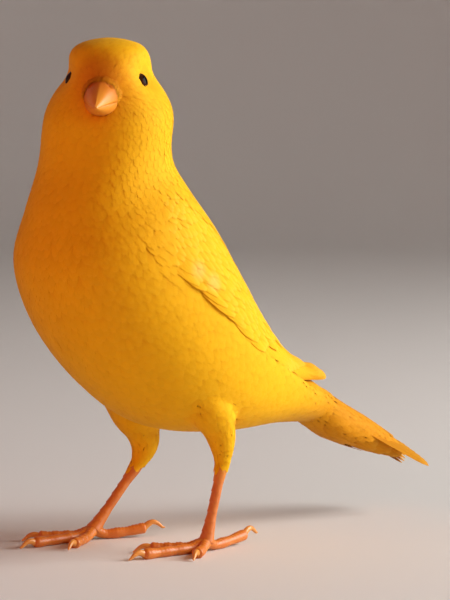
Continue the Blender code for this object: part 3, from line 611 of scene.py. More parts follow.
# Where barbs leave the shaft and where they end: slanted ones, and soft ones.
SLANT_ROOTS = (0.02, 0.90)
SLANT_SHORTENING = 0.55
SOFT_ROOTS = 0.6
SOFT_ENDS = (0.5, 0.495)
SHAFT_ENDS = (-0.03, 0.95)
SHAFT_RINGS = 6
SHAFT_TAPER = 0.8
SHAFT_RIDGE = 1.3
SHAFT_TONE = 0.9
SHEET_END = 0.975
SHEET_HALF = 0.94
SHEET_TONE = 0.5
BODY_FEATHER = {"barbs": 5, "rings": 2, "width": 0.26, "ridge": 0.012, "looseness": 0.08, "sheet": 5,
                "across": 3, "thick": 0.02}
FEATHERS = {
    "body": (0, 12, BODY_FEATHER),
    "bristle": (20, 6, {"barbs": 6, "rings": 2, "width": 0.20, "ridge": 0.01, "looseness": 0.35}),
    "flight": (40, 3, {"barbs": 46, "rings": 3, "width": 0.075, "ridge": 0.03, "looseness": 0.012,
                       "shaft": 0.05, "sheet": 14, "slant": 0.13, "blunt": 7.0}),
    "covert": (60, 4, {"barbs": 16, "rings": 3, "width": 0.15, "ridge": 0.04, "looseness": 0.04,
                       "shaft": 0.03, "sheet": 8}),
    "soft": (80, 12, BODY_FEATHER),
}


def outline_half(share, blunt):
    """Half width of a feather at a share of its length; a high blunt gives a broad end."""
    far = np.clip((share - 0.5) / 0.5, 0, 1)
    near_half = QUILL_HALF + (1 - QUILL_HALF) * smooth_step(share / 0.5)
    return float(np.where(share < 0.5, near_half, np.sqrt(1 - far ** blunt + 1e-9)))


def strip_faces(base, rings):
    """Faces of a closed three-sided strip that ends in a point."""
    faces = [(base, base + 1, base + 2)]
    for left in range(base, base + 3 * (rings - 1), 3):
        right, top = left + 1, left + 2
        faces += [(left, top, top + 3, left + 3), (top, right, right + 3, top + 3),
                  (right, left, left + 3, right + 3)]
    left, right, top, point = range(base + 3 * (rings - 1), base + 3 * rings + 1)
    return faces + [(left, top, point), (top, right, point), (right, left, point)]


def strip_points(path, widths, ridge):
    """Points of a three-sided strip along a path in nominal millimetres, ending in a point."""
    path = np.asarray(path, float)
    ways = unit(np.gradient(path, axis=0)[:, :2])
    points = []
    for (x, y, z), way, width in zip(path[:-1], ways[:-1], widths):
        across = np.array([-way[1], way[0]]) * width
        points += [(x + across[0], y + across[1], z), (x - across[0], y - across[1], z),
                   (x, y, z + ridge * width / max(widths))]
    return points + [tuple(path[-1])]


def make_template(seed, barbs, rings, width, ridge, looseness, shaft=0.0, sheet=0, slant=0.0, blunt=BLUNT,
                  across=5, thick=0.1):
    """A feather made of barbs: closed strips that leave the shaft and end on the outline. With no
    slant the barbs are long and soon run along the feather, as in soft body plumage. A sheet is a
    closed thin web of that many rows under the barbs."""
    chance = np.random.default_rng(seed)
    points, faces, tones = [], [], []

    def strip(path, widths, height, tone):
        faces.extend(strip_faces(len(points), len(widths)))
        points.extend(strip_points(path, widths, height))
        tones.extend([tone] * (3 * len(widths) + 1))

    for side, number in product((1, -1), range(barbs)):
        x = (number + 0.5 + 0.25 * side) / barbs
        if slant:
            start = SLANT_ROOTS[0] + SLANT_ROOTS[1] * x
            end = start + slant * (1 - SLANT_SHORTENING * x)
        else:
            start = SOFT_ROOTS * x
            end = SOFT_ENDS[0] + SOFT_ENDS[1] * x ** 0.7
        end = min(BARB_END, end + chance.uniform(-0.5, 0.5) * looseness)
        half = side * outline_half(end, blunt) * (1 + chance.uniform(-0.5, 0.3) * looseness)
        lift = chance.uniform(-1, 1) * BARB_RISE
        path = []
        for f in np.linspace(0, 1, rings + 1):
            a = start + (end - start) * f ** 1.15
            b = half * (f ** 0.85 if slant else 1 - (1 - f) ** 1.8)
            path.append((a * NOMINAL_LENGTH, b * NOMINAL_HALF, lift * f))
        widths = [width * (1 - BARB_TAPER * f) for f in np.linspace(0, 1, rings)]
        strip(path, widths, ridge, chance.uniform(0, 1))
    if shaft:
        path = [(a * NOMINAL_LENGTH, 0.0, 0.0) for a in np.linspace(*SHAFT_ENDS, SHAFT_RINGS + 1)]
        widths = [shaft * (1 - SHAFT_TAPER * f) for f in np.linspace(0, 1, SHAFT_RINGS)]
        strip(path, widths, shaft * SHAFT_RIDGE, SHAFT_TONE)
    web = []
    for level, a in product((0.0, -thick), np.linspace(0.0, SHEET_END, sheet)):
        half = SHEET_HALF * outline_half(a, blunt) * NOMINAL_HALF
        web += [(a * NOMINAL_LENGTH, b * half, level) for b in np.linspace(-1, 1, across)]
    if sheet:
        faces += slab_faces(len(points), sheet, across)
    points = np.array(points + web)
    sides = np.ones(len(points))
    sides[len(points) - len(web) // 2:] = -1
    along, beside, height = (points / (NOMINAL_LENGTH, NOMINAL_HALF, 1.0)).T
    grid = lagrange(ALONG_NODES, along)[:, :, None] * lagrange(ACROSS_NODES, beside)[:, None, :]
    loops, sizes = flat_corners(faces)
    return {"side": sides, "a": along, "b": beside, "h": height, "weights": grid.reshape(-1, 12),
            "tone": np.array(tones + [SHEET_TONE] * len(web)), "loops": np.array(loops),
            "sizes": np.array(sizes), "triangles": sum(size - 2 for size in sizes)}


def make_templates(kind):
    """All templates of one kind of feather."""
    seed, count, settings = FEATHERS[kind]
    return [make_template(seed + number, **settings) for number in range(count)]


def pick(chance, family):
    """One of a kind's templates."""
    return family[chance.integers(len(family))]


# A feather's control patch: 4 places along it and 3 across.
ALONG_NODES = np.array([0.0, 1 / 3, 2 / 3, 1.0])
ACROSS_NODES = np.array([-1.0, 0.0, 1.0])
UV_PATCH = 0.003
LIFT_CURVE = 0.75
FEATHER_TONE = 0.55


def lagrange(nodes, values):
    """Weights of each node's polynomial at the values."""
    weights = np.ones((len(values), len(nodes)))
    for i, here in enumerate(nodes):
        for j, other in enumerate(nodes):
            if i != j:
                weights[:, i] *= (values - other) / (here - other)
    return weights


class Plumes:
    """Feathers collected for one piece: a control patch, lifts and a root's map place for each.
    Softness is the share of the bird's own smooth form in the shading of the barbs."""

    def __init__(self, softness):
        self.rows = []
        self.softness = softness

    def lay(self, template, patch, root_lift, tip_lift, dome, tone, uv):
        """Add one feather over a 4 by 3 patch of surface points and normals."""
        self.rows.append((template, patch, root_lift, tip_lift, dome, tone, uv))

    def build(self, name, material):
        """Bend every template over its patch and join them all into one piece."""
        points, loops, tones, reaches, uvs, soft = [], [], [], [], [], []
        count = 0
        for template, (spots, normals), root_lift, tip_lift, dome, tone, uv in self.rows:
            share = np.clip(template["a"], 0, 1)
            height = root_lift + (tip_lift - root_lift) * share ** LIFT_CURVE - dome * template["b"] ** 2
            height = height + template["h"]
            outward = template["weights"] @ normals.reshape(12, 3)
            points.append(template["weights"] @ spots.reshape(12, 3) + outward * height[:, None])
            soft.append(unit(outward) * template["side"][:, None])
            loops.append(template["loops"] + count)
            tones.append(np.clip(FEATHER_TONE * tone + (1 - FEATHER_TONE) * template["tone"], 0, 1))
            reaches.append(share)
            uvs.append(np.array(uv) + np.stack([template["b"], template["a"]], -1) * UV_PATCH / 2)
            count += len(share)
        loops = np.concatenate(loops)
        sizes = np.concatenate([row[0]["sizes"] for row in self.rows])
        piece = make_mesh(name, np.concatenate(points), loops, sizes, material)
        layer = piece.data.uv_layers.new(name="OFBake")
        layer.data.foreach_set("uv", np.concatenate(uvs)[loops].astype(np.float32).ravel())
        own = np.zeros(count * 3, np.float32)
        piece.data.vertices.foreach_get("normal", own)
        shading = unit(np.concatenate(soft) * self.softness + own.reshape(-1, 3) * (1 - self.softness))
        for label, kind, field, values in (("tone", "FLOAT", "value", np.concatenate(tones)),
                                           ("reach", "FLOAT", "value", np.concatenate(reaches)),
                                           ("custom_normal", "FLOAT_VECTOR", "vector", shading)):
            attribute = piece.data.attributes.new(label, kind, "POINT")
            attribute.data.foreach_set(field, values.astype(np.float32).ravel())
        triangles = sum(row[0]["triangles"] for row in self.rows)
        print(name, len(self.rows), "feathers", triangles, "triangles")
        return piece


# Thighs, as the part has them: (forward, left, up, radius) from the knee to the ankle.
THIGHS = {
    "left": ((-2.0, 11.0, 36.0, 5.6), (-6.2, 12.4, 29.6, 4.8), (-8.3, 12.8, 25.6, 3.5),
             (-9.3, 12.8, 21.9, 2.55), (-9.5, 12.7, 18.4, 1.6)),
    "right": ((-2.0, -11.0, 34.0, 5.6), (-6.8, -12.3, 26.6, 5.1), (-9.2, -12.7, 22.1, 3.6),
              (-9.7, -12.8, 18.8, 2.8), (-8.4, -12.9, 15.7, 1.7)),
}
# The plumage runs on from the thighs a little way down the shanks.
ANKLE_FEATHERS = {
    "left": ((-8.95, 12.7, 16.3, 1.40), (-8.5, 12.65, 14.0, 1.2)),
    "right": ((-7.0, -13.1, 13.8, 1.45), (-5.4, -13.2, 11.8, 1.2)),
}
FEET = {
    "left": {"ankle": (-9.35, 12.7, 17.8), "foot": (-5.3, 12.5),
             "toes": {"1": (-22.2, 9.7), "2": (7.8, 4.4), "3": (14.3, 11.1), "4": (4.5, 19.8)}},
    "right": {"ankle": (-8.0, -13.0, 15.1), "foot": (3.3, -14.0),
              "toes": {"1": (-11.4, -7.7), "2": (16.5, -5.8), "3": (22.9, -13.8), "4": (17.0, -21.1)}},
}
# Tail, as the part has it: its line, its feathers' lengths and the bulk of the coverts' roots.
TAIL_ROOT = (-46.0, 27.8)
TAIL_TIP = (-79.6, 11.7)
TAIL_ARCH = 0.015
TAIL_STEP = 0.36
TAIL_LENGTHS = (32.5, 33.5, 34.8, 36.0, 36.8, 37.0)
RIGHT_TAIL_EXTRA = 0.5
RECTRIX_ROOT = 4.0
RECTRIX_ROOT_STEP = 0.5
RECTRIX_TIP_STEP = 0.78
RECTRIX_HALF_WIDTH = 1.9
# Sections of the core: along, half width, lower and upper side.
TAIL_CORE = ((8.0, 4.9, -6.3, 2.1), (16.0, 4.4, -5.5, 1.9), (24.0, 3.2, -4.2, 1.4),
             (31.0, 1.6, -2.6, 0.6))

# Coat: how deep the skin lies under the feathers' outer form, and how high the form stands.
COAT_DEPTH = 0.26
FORM_LIFT = 0.12
SKIN_VOXEL = 0.55
SKIN_SOFTENING = (0.5, 6)
FORM_SIDES = 144
FORM_STEP = 0.1
CROWN_FROM = 14.0
CROWN_ROWS = 16
THIGH_ROWS = 36
THIGH_SIDES = 28
THINNEST = 0.4
CORE_SIDES = 40
CORE_SWELL = 0.4
CORE_START = 0.98
CORE_ROOT = 0.9
THIGH_GAP = 0.8
PLUMAGE_BED = (3.4, -1.0)
PLUMAGE_BED_MARGIN = 3.0
PLUMAGE_BED_RAMP = 8.0


def tail_place(along, side, height):
    """A point of the tail: millimetres from its root, to the left and above its plane."""
    root = np.array(TAIL_ROOT)
    line = np.array(TAIL_TIP) - root
    line = line / np.linalg.norm(line)
    spot = root + line * along + np.array([line[1], -line[0]]) * (height - TAIL_ARCH * side ** 2)
    return np.array([side, -spot[0], spot[1]])


def body_ring(t, size):
    """A ring of the trunk, a little drawn in, for the tail to grow out of."""
    ring = section_points(BODY, t, np.arange(CORE_SIDES) * 9.0)
    middle = ring.mean(axis=0)
    return middle + (ring - middle) * size


def tail_core_rings(slimmer):
    """Rings of the flesh and feather roots under the tail coverts."""
    rings = [body_ring(0.0, CORE_ROOT)]
    for along, half, low, high in TAIL_CORE:
        ring = []
        for angle in np.radians(np.arange(CORE_SIDES) * 9.0):
            up, across = section_shape(angle)
            level = (high + low) / 2 + ((high - low) / 2 - slimmer * 0.5) * up
            ring.append(tail_place(along, max(half - slimmer, 0.3) * across, level))
        rings.append(ring)
    return rings


def blended_form(name, lift, bed, material, beyond=False):
    """Trunk, head and thighs grown into one smooth closed surface at a height over the plumage's
    outer form. When asked, it goes on over the tail and the feathers on the shanks."""
    angles = np.arange(FORM_SIDES) * 360.0 / FORM_SIDES
    crown = np.linspace(CROWN_FROM, CROWN_END, CROWN_ROWS)
    rings = []
    for t in np.concatenate([np.arange(0.0, CROWN_FROM, FORM_STEP), crown]):
        rings.append(lifted_points(BODY, t, angles, face_relief(t, angles) + lift - bed(t, angles)))
    lofts = [rings]
    for side_name in THIGHS:
        rows = THIGHS[side_name] + (ANKLE_FEATHERS[side_name] if beyond else ())
        path = smooth_path([(*at(f, l, z), r) for f, l, z, r in rows], THIGH_ROWS)
        lofts.append(tube_rings(path[:, :3], np.maximum(path[:, 3] + lift, THINNEST), THIGH_SIDES))
    if beyond:
        start = [body_ring(t, CORE_START) for t in (0.5, 0.0)]
        lofts.append(start + tail_core_rings(-CORE_SWELL)[1:])
    form = make_lofts(name, lofts, material)
    remesh = form.modifiers.new("grow together", "REMESH")
    remesh.mode = "VOXEL"
    remesh.voxel_size = SKIN_VOXEL * MM
    soften = form.modifiers.new("soften", "SMOOTH")
    soften.factor, soften.iterations = SKIN_SOFTENING
    graph = bpy.context.evaluated_depsgraph_get()
    mesh = bpy.data.meshes.new_from_object(form.evaluated_get(graph))
    form.modifiers.clear()
    form.data = mesh
    mesh.shade_smooth()
    return form


def plumage_bed(t, angle):
    """Depth of the bed that the plumage follows: only under the wing tips."""
    above = smooth_step((wing_edges(t)[1] - PLUMAGE_BED_MARGIN - fold_angle(angle)) / PLUMAGE_BED_RAMP)
    return wing_bed(t, angle) * rise(t, *PLUMAGE_BED) * above


class Form:
    """The plumage's outer form: nearest points, and the lie of the feathers over it."""

    def __init__(self):
        shape = blended_form("outer_form", FORM_LIFT, plumage_bed, bpy.data.materials.new("outer_form"),
                             beyond=True)
        mesh = shape.data
        mesh.calc_loop_triangles()
        points = np.zeros(len(mesh.vertices) * 3, np.float32)
        mesh.vertices.foreach_get("co", points)
        self.points = (points.reshape(-1, 3).astype(float) - SHIFT) / MM
        triangles = np.zeros(len(mesh.loop_triangles) * 3, np.int32)
        mesh.loop_triangles.foreach_get("vertices", triangles)
        self.triangles = triangles.reshape(-1, 3)
        self.tree = BVHTree.FromPolygons([tuple(p) for p in self.points], [tuple(t) for t in self.triangles])
        bpy.data.objects.remove(shape, do_unlink=True)
        grid = np.meshgrid(np.arange(0.0, 14.99, 0.12), np.arange(0.0, 360.0, 3.0), indexing="ij")
        self.t, self.angle = (values.ravel() for values in grid)
        here = section_points(BODY, self.t, self.angle)
        self.tailward = unit(section_points(BODY, np.maximum(self.t - 0.05, -0.2), self.angle) - here)
        self.tree_of_stations = KDTree(len(here))
        for k, point in enumerate(here):
            self.tree_of_stations.insert(point, k)
        self.tree_of_stations.balance()

    def nearest(self, point):
        """Nearest point of the form and its outward normal."""
        spot, normal, _, _ = self.tree.find_nearest(Vector(point))
        return np.array(spot), np.array(normal)

    def station(self, point):
        """Station, angle, tailward direction and distance outside the trunk at a point."""
        _, k, gap = self.tree_of_stations.find(Vector(point))
        return self.t[k], (self.angle[k] + 180.0) % 360.0 - 180.0, self.tailward[k], gap


# The lie of the feathers over the form.
BILL_ROOT = head_place(11.0, 0.0, 95.0)
TAIL_START = tail_place(0.0, 0.0, 0.0)
TAILWARD = unit(tail_place(10.0, 0.0, 0.0) - TAIL_START)
BACK_AND_DOWN = unit(np.array([-sin(radians(HEAD_TURN)), cos(radians(HEAD_TURN)), -1.1]))
DOWN_THE_THIGH = np.array([0.0, 0.12, -1.0])
HEAD_LIE = (10.0, 2.5)
FACE_LIE = (24.0, -12.0)
THIGH_LIE = (THIGH_GAP, 2.5)
TAIL_LIE = (-4.0, 8.0)
FLANK_RISE = 0.55
THIGH_TOP = 34.0
THIGH_BACK = 25.0
# Roots' spacing at stations, on the thighs, and how much closer they stand near the bill.
SPACING = ((0.0, 2.0, 6.0, 8.5, 10.5, 12.0, 15.0), (1.0, 1.15, 1.15, 0.95, 0.8, 0.72, 0.75))
THIGH_SPACING = 0.8
FACE_SPACING = (12.0, -9.0)
FACE_CLOSENESS = 0.3
SCATTER_CELL = 1.2
ROOT_CANDIDATES = 170000
NEIGHBOURS = tuple(product((-1, 0, 1), repeat=3))


def along_tail(point):
    """Distance of a point along the tail's line from its root."""
    return float((point - TAIL_START) @ TAILWARD)


def on_thigh(point, gap):
    """Whether a point that stands off the trunk belongs to a thigh."""
    return gap > THIGH_GAP and point[2] < THIGH_TOP and point[1] < THIGH_BACK


def lie(form, point, normal):
    """Direction in which feathers lie: away from the bill, then towards the tail or the foot."""
    t, angle, tailward, gap = form.station(point)
    on_head = rise(t, *HEAD_LIE)
    way = tailward * (1 - on_head) + BACK_AND_DOWN * on_head
    away = point - BILL_ROOT
    radial = rise(np.linalg.norm(away), *FACE_LIE) * on_head
    way = way * (1 - radial) + unit(away) * radial
    way = way + np.array([0.0, 0.0, FLANK_RISE]) * near_lower_edge(t, angle)
    if on_thigh(point, gap):
        share = rise(gap, *THIGH_LIE)
        way = way * (1 - share) + DOWN_THE_THIGH * share
    share = rise(along_tail(point), *TAIL_LIE)
    way = way * (1 - share) + TAILWARD * share
    return unit(way - normal * np.dot(way, normal))


def scatter(form, chance):
    """Evenly spread random roots over the form, closer together where feathers are small."""
    corners = form.points[form.triangles]
    area = np.linalg.norm(np.cross(corners[:, 1] - corners[:, 0], corners[:, 2] - corners[:, 0]), axis=1)
    chosen = chance.choice(len(area), ROOT_CANDIDATES, p=area / area.sum())
    weights = chance.dirichlet((1, 1, 1), ROOT_CANDIDATES)
    grid = {}
    kept = []
    for spot in np.einsum("nk,nkc->nc", weights, corners[chosen]):
        t, angle, _, gap = form.station(spot)
        reach = np.linalg.norm(spot - BILL_ROOT)
        spacing = float(np.interp(t, *SPACING) * (1 - FACE_CLOSENESS * rise(reach, *FACE_SPACING)))
        if on_thigh(spot, gap):
            spacing = THIGH_SPACING
        x, y, z = (spot // SCATTER_CELL).astype(int)
        others = [other for dx, dy, dz in NEIGHBOURS for other in grid.get((x + dx, y + dy, z + dz), ())]
        if all(np.dot(spot - other, spot - other) >= spacing * spacing for other in others):
            grid.setdefault((x, y, z), []).append(spot)
            kept.append((spot, t, angle, spacing, gap))
    return kept


# The looks' eyeballs: a little lower and further out than the solids, as the photo shows them.
EYE_SLIDE = 0.6
EYE_OUT = 0.2
EYE_CLEAR = 1.74
EYE_REACH = 3.0
# The trunk that a folded wing covers, and the flank feathers that lie over its lower edge.
WING_AREA = (1.45, 6.95)
WING_COVER = (3.0, 4.0)
WING_COVER_FRONT = (5.6, 0.8)
FLANK_FRONT = (7.2, -0.8)
FLANK_REAR = (5.4, 0.8)
FLANK_WIDTH = 9.0
FLANK_LIFT = 0.15


def open_eye(side):
    """Centre of the looks' eyeball and the way it looks."""
    centre, facing = eye_place(side)
    down = unit(facing * facing[2] - UP)
    return centre + down * EYE_SLIDE + facing * EYE_OUT, facing


EYES = [open_eye(side) for side in SIDES.values()]


def under_wing(t, angle):
    """Whether a folded wing covers this place of the trunk."""
    upper, lower = wing_edges(t)
    above, below = WING_COVER
    front = below * rise(t, *WING_COVER_FRONT)
    return WING_AREA[0] < t < WING_AREA[1] and upper + above < fold_angle(angle) < lower - below - front


def near_lower_edge(t, angle):
    """Share of a place's closeness to the wing's front lower edge, which flank feathers overlap."""
    along = rise(t, *FLANK_REAR) * rise(t, *FLANK_FRONT)
    return float(along * bell(fold_angle(angle), wing_edges(t)[1], FLANK_WIDTH))


def clear_of_eyes(point):
    """Push a point out of the open eyes."""
    for centre, facing in EYES:
        rim = centre + facing * (EYE_RADIUS - EYE_PROUD)
        away = point - rim
        away = away - facing * np.dot(away, facing)
        reach = np.linalg.norm(away)
        if np.linalg.norm(point - rim) < EYE_REACH and reach < EYE_CLEAR:
            point = point + unit(away) * (EYE_CLEAR - reach)
    return point


def lay_on_form(form, root, length, half, twist):
    """Control patch of one body feather that follows the form and the lie."""
    spot, normal = form.nearest(root)
    way = lie(form, spot, normal)
    way = way * cos(twist) + np.cross(normal, way) * sin(twist)
    spots, normals = np.zeros((2, 4, 3, 3))
    for i in range(4):
        if i:
            spot, normal = form.nearest(clear_of_eyes(spot + way * length / 3))
            onward = lie(form, spot, normal)
            way = unit(0.6 * (way - normal * np.dot(way, normal)) + 0.4 * onward)
        across = np.cross(normal, way)
        for j, side in enumerate(ACROSS_NODES):
            spots[i, j], normals[i, j] = spot, normal
            if side:
                edge, edge_normal = form.nearest(clear_of_eyes(spot + across * side * half))
                spots[i, j], normals[i, j] = edge, unit(edge_normal + normal)
    return spots, normals


# Bill, as the part has it, in the head's own frame.
BILL_BACK = 8.3
BILL_BASE = 10.0
BILL_TIP = 18.8
LOWER_BILL_TIP = 17.9
BILL_TIP_HEIGHT = 91.5
BILL_TIP_RADIUS = 0.25
GAPE_HEIGHT = 92.7
CULMEN_HEIGHT = 97.1
GONYS_DROP = 3.0
BILL_HALF_WIDTH = 3.6
BILL_ROUNDING = 0.85
NOSTRIL_FORWARD = 11.9
NOSTRIL_SIDE = 1.9
NOSTRIL_RADIUS = 0.42
NOSTRIL_DEPTH = 0.4
CULMEN_RIDGE = 0.10
CULMEN_WIDTH = 0.16
BILL_STEPS = 33
BILL_FLOOR = (-0.85, 0.85, 9)
GONYS_GAP = 0.04
# Where the bill comes out of the face: the opening's start, middle height, half width and height.
BILL_OPENING_FORWARD = 5.0
BILL_OPENING_UP = 93.2
BILL_OPENING_HALF = 3.0
BILL_OPENING_TALL = 3.9 * 0.84
# The fringe: its middle height, half height and closeness to the horn; how far its feathers'
# roots swell out, stand back and vary; and their reach, longer over the bill and on its lit side.
FRINGE_COUNT = 200
FRINGE_UP = 93.4
FRINGE_TALL = 3.75
FRINGE_HUG = 0.985
FRINGE_SWELL = (0.2, 1.3)
FRINGE_START = 9.4
FRINGE_BACK = 0.35
FRINGE_STAGGER = (-0.3, 0.3)
FRINGE_REACH = 1.2
FRINGE_TOP_REACH = 1.3
FRINGE_VARIETY = (-0.7, 0.8)
FRINGE_WIDTH = (0.09, 0.15)


def taper(first, last, k, power):
    """From the first value to the last, slowly and then fast."""
    return last + (first - last) * (1 - k ** power)


def bill_lines(forward):
    """Heights of the mouth line and culmen, and the half width, along the bill."""
    k = np.clip((forward - BILL_BASE) / (BILL_TIP - BILL_BASE), 0, 1)
    mouth = taper(GAPE_HEIGHT, BILL_TIP_HEIGHT, k, 1.4)
    culmen = taper(CULMEN_HEIGHT, BILL_TIP_HEIGHT + BILL_TIP_RADIUS, k, 1.45)
    return mouth, culmen, taper(BILL_HALF_WIDTH, BILL_TIP_RADIUS, k, 1.4)


def gonys_lines(forward):
    """Depth and half width of the lower bill."""
    k = np.clip((forward - BILL_BASE) / (LOWER_BILL_TIP - BILL_BASE), 0, 1)
    return taper(GONYS_DROP, 0.3, k, 1.6), taper(BILL_HALF_WIDTH - 0.15, 0.2, k, 1.5)


def bill_half(name, rows, tip, sign, material):
    """Upper or lower bill from its back to its tip, with ridge, cutting edges and nostrils."""
    rings = []
    for forward in np.concatenate([[BILL_BACK], np.linspace(BILL_BASE, tip, rows)]):
        mouth, culmen, half = bill_lines(forward)
        height = culmen - mouth
        if sign < 0:
            height, half = gonys_lines(forward)
        ring = []
        for angle in np.linspace(0, pi, BILL_STEPS):
            swell = height * sin(angle) ** BILL_ROUNDING
            if sign > 0:
                swell += CULMEN_RIDGE * bell(angle, pi / 2, CULMEN_WIDTH)
            rim = swell if sign > 0 else -GONYS_GAP - swell
            spot = head_place(forward, half * cos(angle), mouth + rim)
            for side in SIDES.values():
                gap = np.hypot(forward - NOSTRIL_FORWARD, half * cos(angle) - side * NOSTRIL_SIDE)
                if sign > 0 and swell > 1.0:
                    inward = unit(head_place(forward, 0.0, mouth + 0.5) - spot)
                    spot = spot + inward * NOSTRIL_DEPTH * np.exp(-(gap / NOSTRIL_RADIUS) ** 4)
            ring.append(spot)
        for share in np.linspace(*BILL_FLOOR):
            arch = 1 - share ** 2
            inside = -0.02 + 0.15 * arch if sign > 0 else 0.06 * arch
            ring.append(head_place(forward, half * share, mouth + inside))
        rings.append(ring)
    return make_lofts(name, [rings], material)


def in_bill(point):
    """Whether a point lies where the bill comes out of the face."""
    turn = radians(HEAD_TURN)
    ahead, left = -point[1] - NECK_PIVOT_FORWARD, point[0] - NECK_PIVOT_LEFT
    forward = ahead * cos(turn) + left * sin(turn)
    side = -ahead * sin(turn) + left * cos(turn)
    up = point[2] - BILL_OPENING_UP
    inside = (side / BILL_OPENING_HALF) ** 2 + (up / BILL_OPENING_TALL) ** 2 < 1.0
    return forward > BILL_OPENING_FORWARD and inside


def lay_bill_fringe(plumes, templates, chance):
    """Short feathers round the bill's root that lie forward over the horn."""
    for number in range(FRINGE_COUNT):
        turn = 2 * pi * (number + chance.uniform(-0.5, 0.5)) / FRINGE_COUNT
        top = max(0.0, sin(turn)) ** 2
        lit = max(0.0, cos(turn))
        swell = chance.uniform(*FRINGE_SWELL)
        reach = FRINGE_REACH + FRINGE_TOP_REACH * top + chance.uniform(*FRINGE_VARIETY) * (0.5 + 0.5 * lit)
        start = FRINGE_START - FRINGE_BACK * swell + chance.uniform(*FRINGE_STAGGER)
        width = chance.uniform(*FRINGE_WIDTH)
        spots, normals = np.zeros((2, 4, 3, 3))
        for i, share in enumerate(ALONG_NODES):
            forward = start + (reach + 0.6 + FRINGE_BACK * swell) * share
            wide = bill_lines(max(forward, BILL_BASE))[2] * FRINGE_HUG + swell * (1 - share) ** 1.3
            tall = wide * FRINGE_TALL / BILL_HALF_WIDTH
            middle = head_place(forward - 1.5 - 1.5 * swell, 0.0, FRINGE_UP)
            for j, side in enumerate(-ACROSS_NODES):
                angle = turn + side * width
                spots[i, j] = head_place(forward, wide * cos(angle), FRINGE_UP + tall * sin(angle))
                normals[i, j] = unit(spots[i, j] - middle)
        plumes.lay(pick(chance, templates), (spots, normals), -0.1, 0.03, 0.02, chance.uniform(0, 1),
                   (0.5, 0.9))


# The coat's pieces: how bare the ankles are, where roots on the tail end, and feathers' sizes.
COAT_PARTS = ("head", "neck", "breast", "back", "belly", "rump", "thighs", "tail")
COAT_SOFTNESS = 0.92
ANKLE_END = 0.2
ANKLE_FADE = 2.6
TAIL_COAT_END = (17.0, 25.0)
TAIL_FEATHER = 1.3
COAT_LENGTH = (3.6, 4.6)
COAT_HALF = (1.0, 1.15)
COAT_TWIST = 0.10
COAT_ROOT_LIFT = -0.05
COAT_ROOT_SINK = 0.07
COAT_TIP_LIFT = 0.06
COAT_TIP_VARIETY = (-0.012, 0.015)
COAT_DOME = 0.02
EYE_RIM = (4.0, -1.5)
EYE_RIM_DROP = 0.22
# Where the pieces meet: along the tail, at stations, and in degrees from the back.
TAIL_FROM = 2.0
HEAD_FROM = 11.6
NECK_FROM = 8.6
RUMP_TO = 2.2
BREAST_FROM = 4.6
BACK_TO = 90.0


def coat_part(t, angle, gap, point):
    """Which piece of the coat a root belongs to."""
    if on_thigh(point, gap - 0.4):
        return "thighs"
    if along_tail(point) > TAIL_FROM:
        return "tail"
    if t > NECK_FROM:
        return "head" if t > HEAD_FROM else "neck"
    if t < RUMP_TO:
        return "rump"
    if fold_angle(angle) < BACK_TO:
        return "back"
    return "breast" if t > BREAST_FROM else "belly"


def make_coat(form, material):
    """All the body feathers, from the smallest on the face to the longest on the rump."""
    chance = np.random.default_rng(SEED)
    templates = make_templates("body")
    coats = {part: Plumes(COAT_SOFTNESS) for part in COAT_PARTS}
    for root, t, angle, spacing, gap in scatter(form, chance):
        past = along_tail(root)
        ankle = FEET["left" if root[0] > 0 else "right"]["ankle"][2]
        bare = root[2] < ankle + ANKLE_END + chance.uniform(0.0, ANKLE_FADE)
        if in_bill(root) or bare or under_wing(t, angle) or past > chance.uniform(*TAIL_COAT_END):
            continue
        length = spacing * chance.uniform(*COAT_LENGTH) * (TAIL_FEATHER if past > 0 else 1.0)
        half = spacing * chance.uniform(*COAT_HALF)
        patch = lay_on_form(form, root, length, half, chance.normal(0, COAT_TWIST))
        template = pick(chance, templates)
        tip = COAT_TIP_LIFT + chance.uniform(*COAT_TIP_VARIETY) + FLANK_LIFT * near_lower_edge(t, angle)
        tip -= EYE_RIM_DROP * max(rise(np.linalg.norm(root - eye[0]), *EYE_RIM) for eye in EYES)
        coats[coat_part(t, angle, gap, root)].lay(
            template, patch, COAT_ROOT_LIFT - COAT_ROOT_SINK * spacing, tip, COAT_DOME * spacing,
            chance.uniform(0, 1), ((angle + 180.0) / 360.0, t / 15.0))
    lay_bill_fringe(coats["head"], make_templates("bristle"), chance)
    return [plumes.build("coat_" + part, material) for part, plumes in coats.items()]


# Folded wing: (name, count, first root, last root, first tip, last tip, half widths, tip lifts,
# template). Places are shares from wrist to tip and from upper to lower edge.
WING_TIERS = (
    ("primaries", 8, (0.42, 0.93), (0.36, 0.60), (0.985, 1.12), (0.93, 0.34), (1.9, 2.4), (-0.40, -0.05),
     "flight"),
    ("secondaries", 7, (0.30, 0.88), (0.28, 0.55), (0.70, 0.93), (0.81, 0.50), (2.6, 3.0), (-0.20, 0.0),
     "flight"),
    ("tertials", 3, (0.28, 0.46), (0.24, 0.22), (0.76, 0.36), (0.60, 0.14), (3.0, 3.2), (-0.05, 0.05),
     "flight"),
    ("greater_coverts", 10, (0.15, 0.92), (0.13, 0.20), (0.50, 0.94), (0.47, 0.16), (1.9, 2.3),
     (-0.10, 0.05), "covert"),
)
BIG_SOFTNESS = 0.75
WING_TIP_REACH = 0.06
WING_ROOT_LIFT = -1.0
SURFACE_STEP = 1e-3
# The swell of the wing's lower edge, and the fold in its middle.
SWELL_ACROSS = (0.58, 0.26)
SWELL_FRONT = (0.14, 0.14)
SWELL_REAR = (0.92, -0.2)
SWELL_FOLD = (0.35, 0.08)
SWELL_HEIGHT = 0.38
SWELL_FOLD_HEIGHT = 0.42
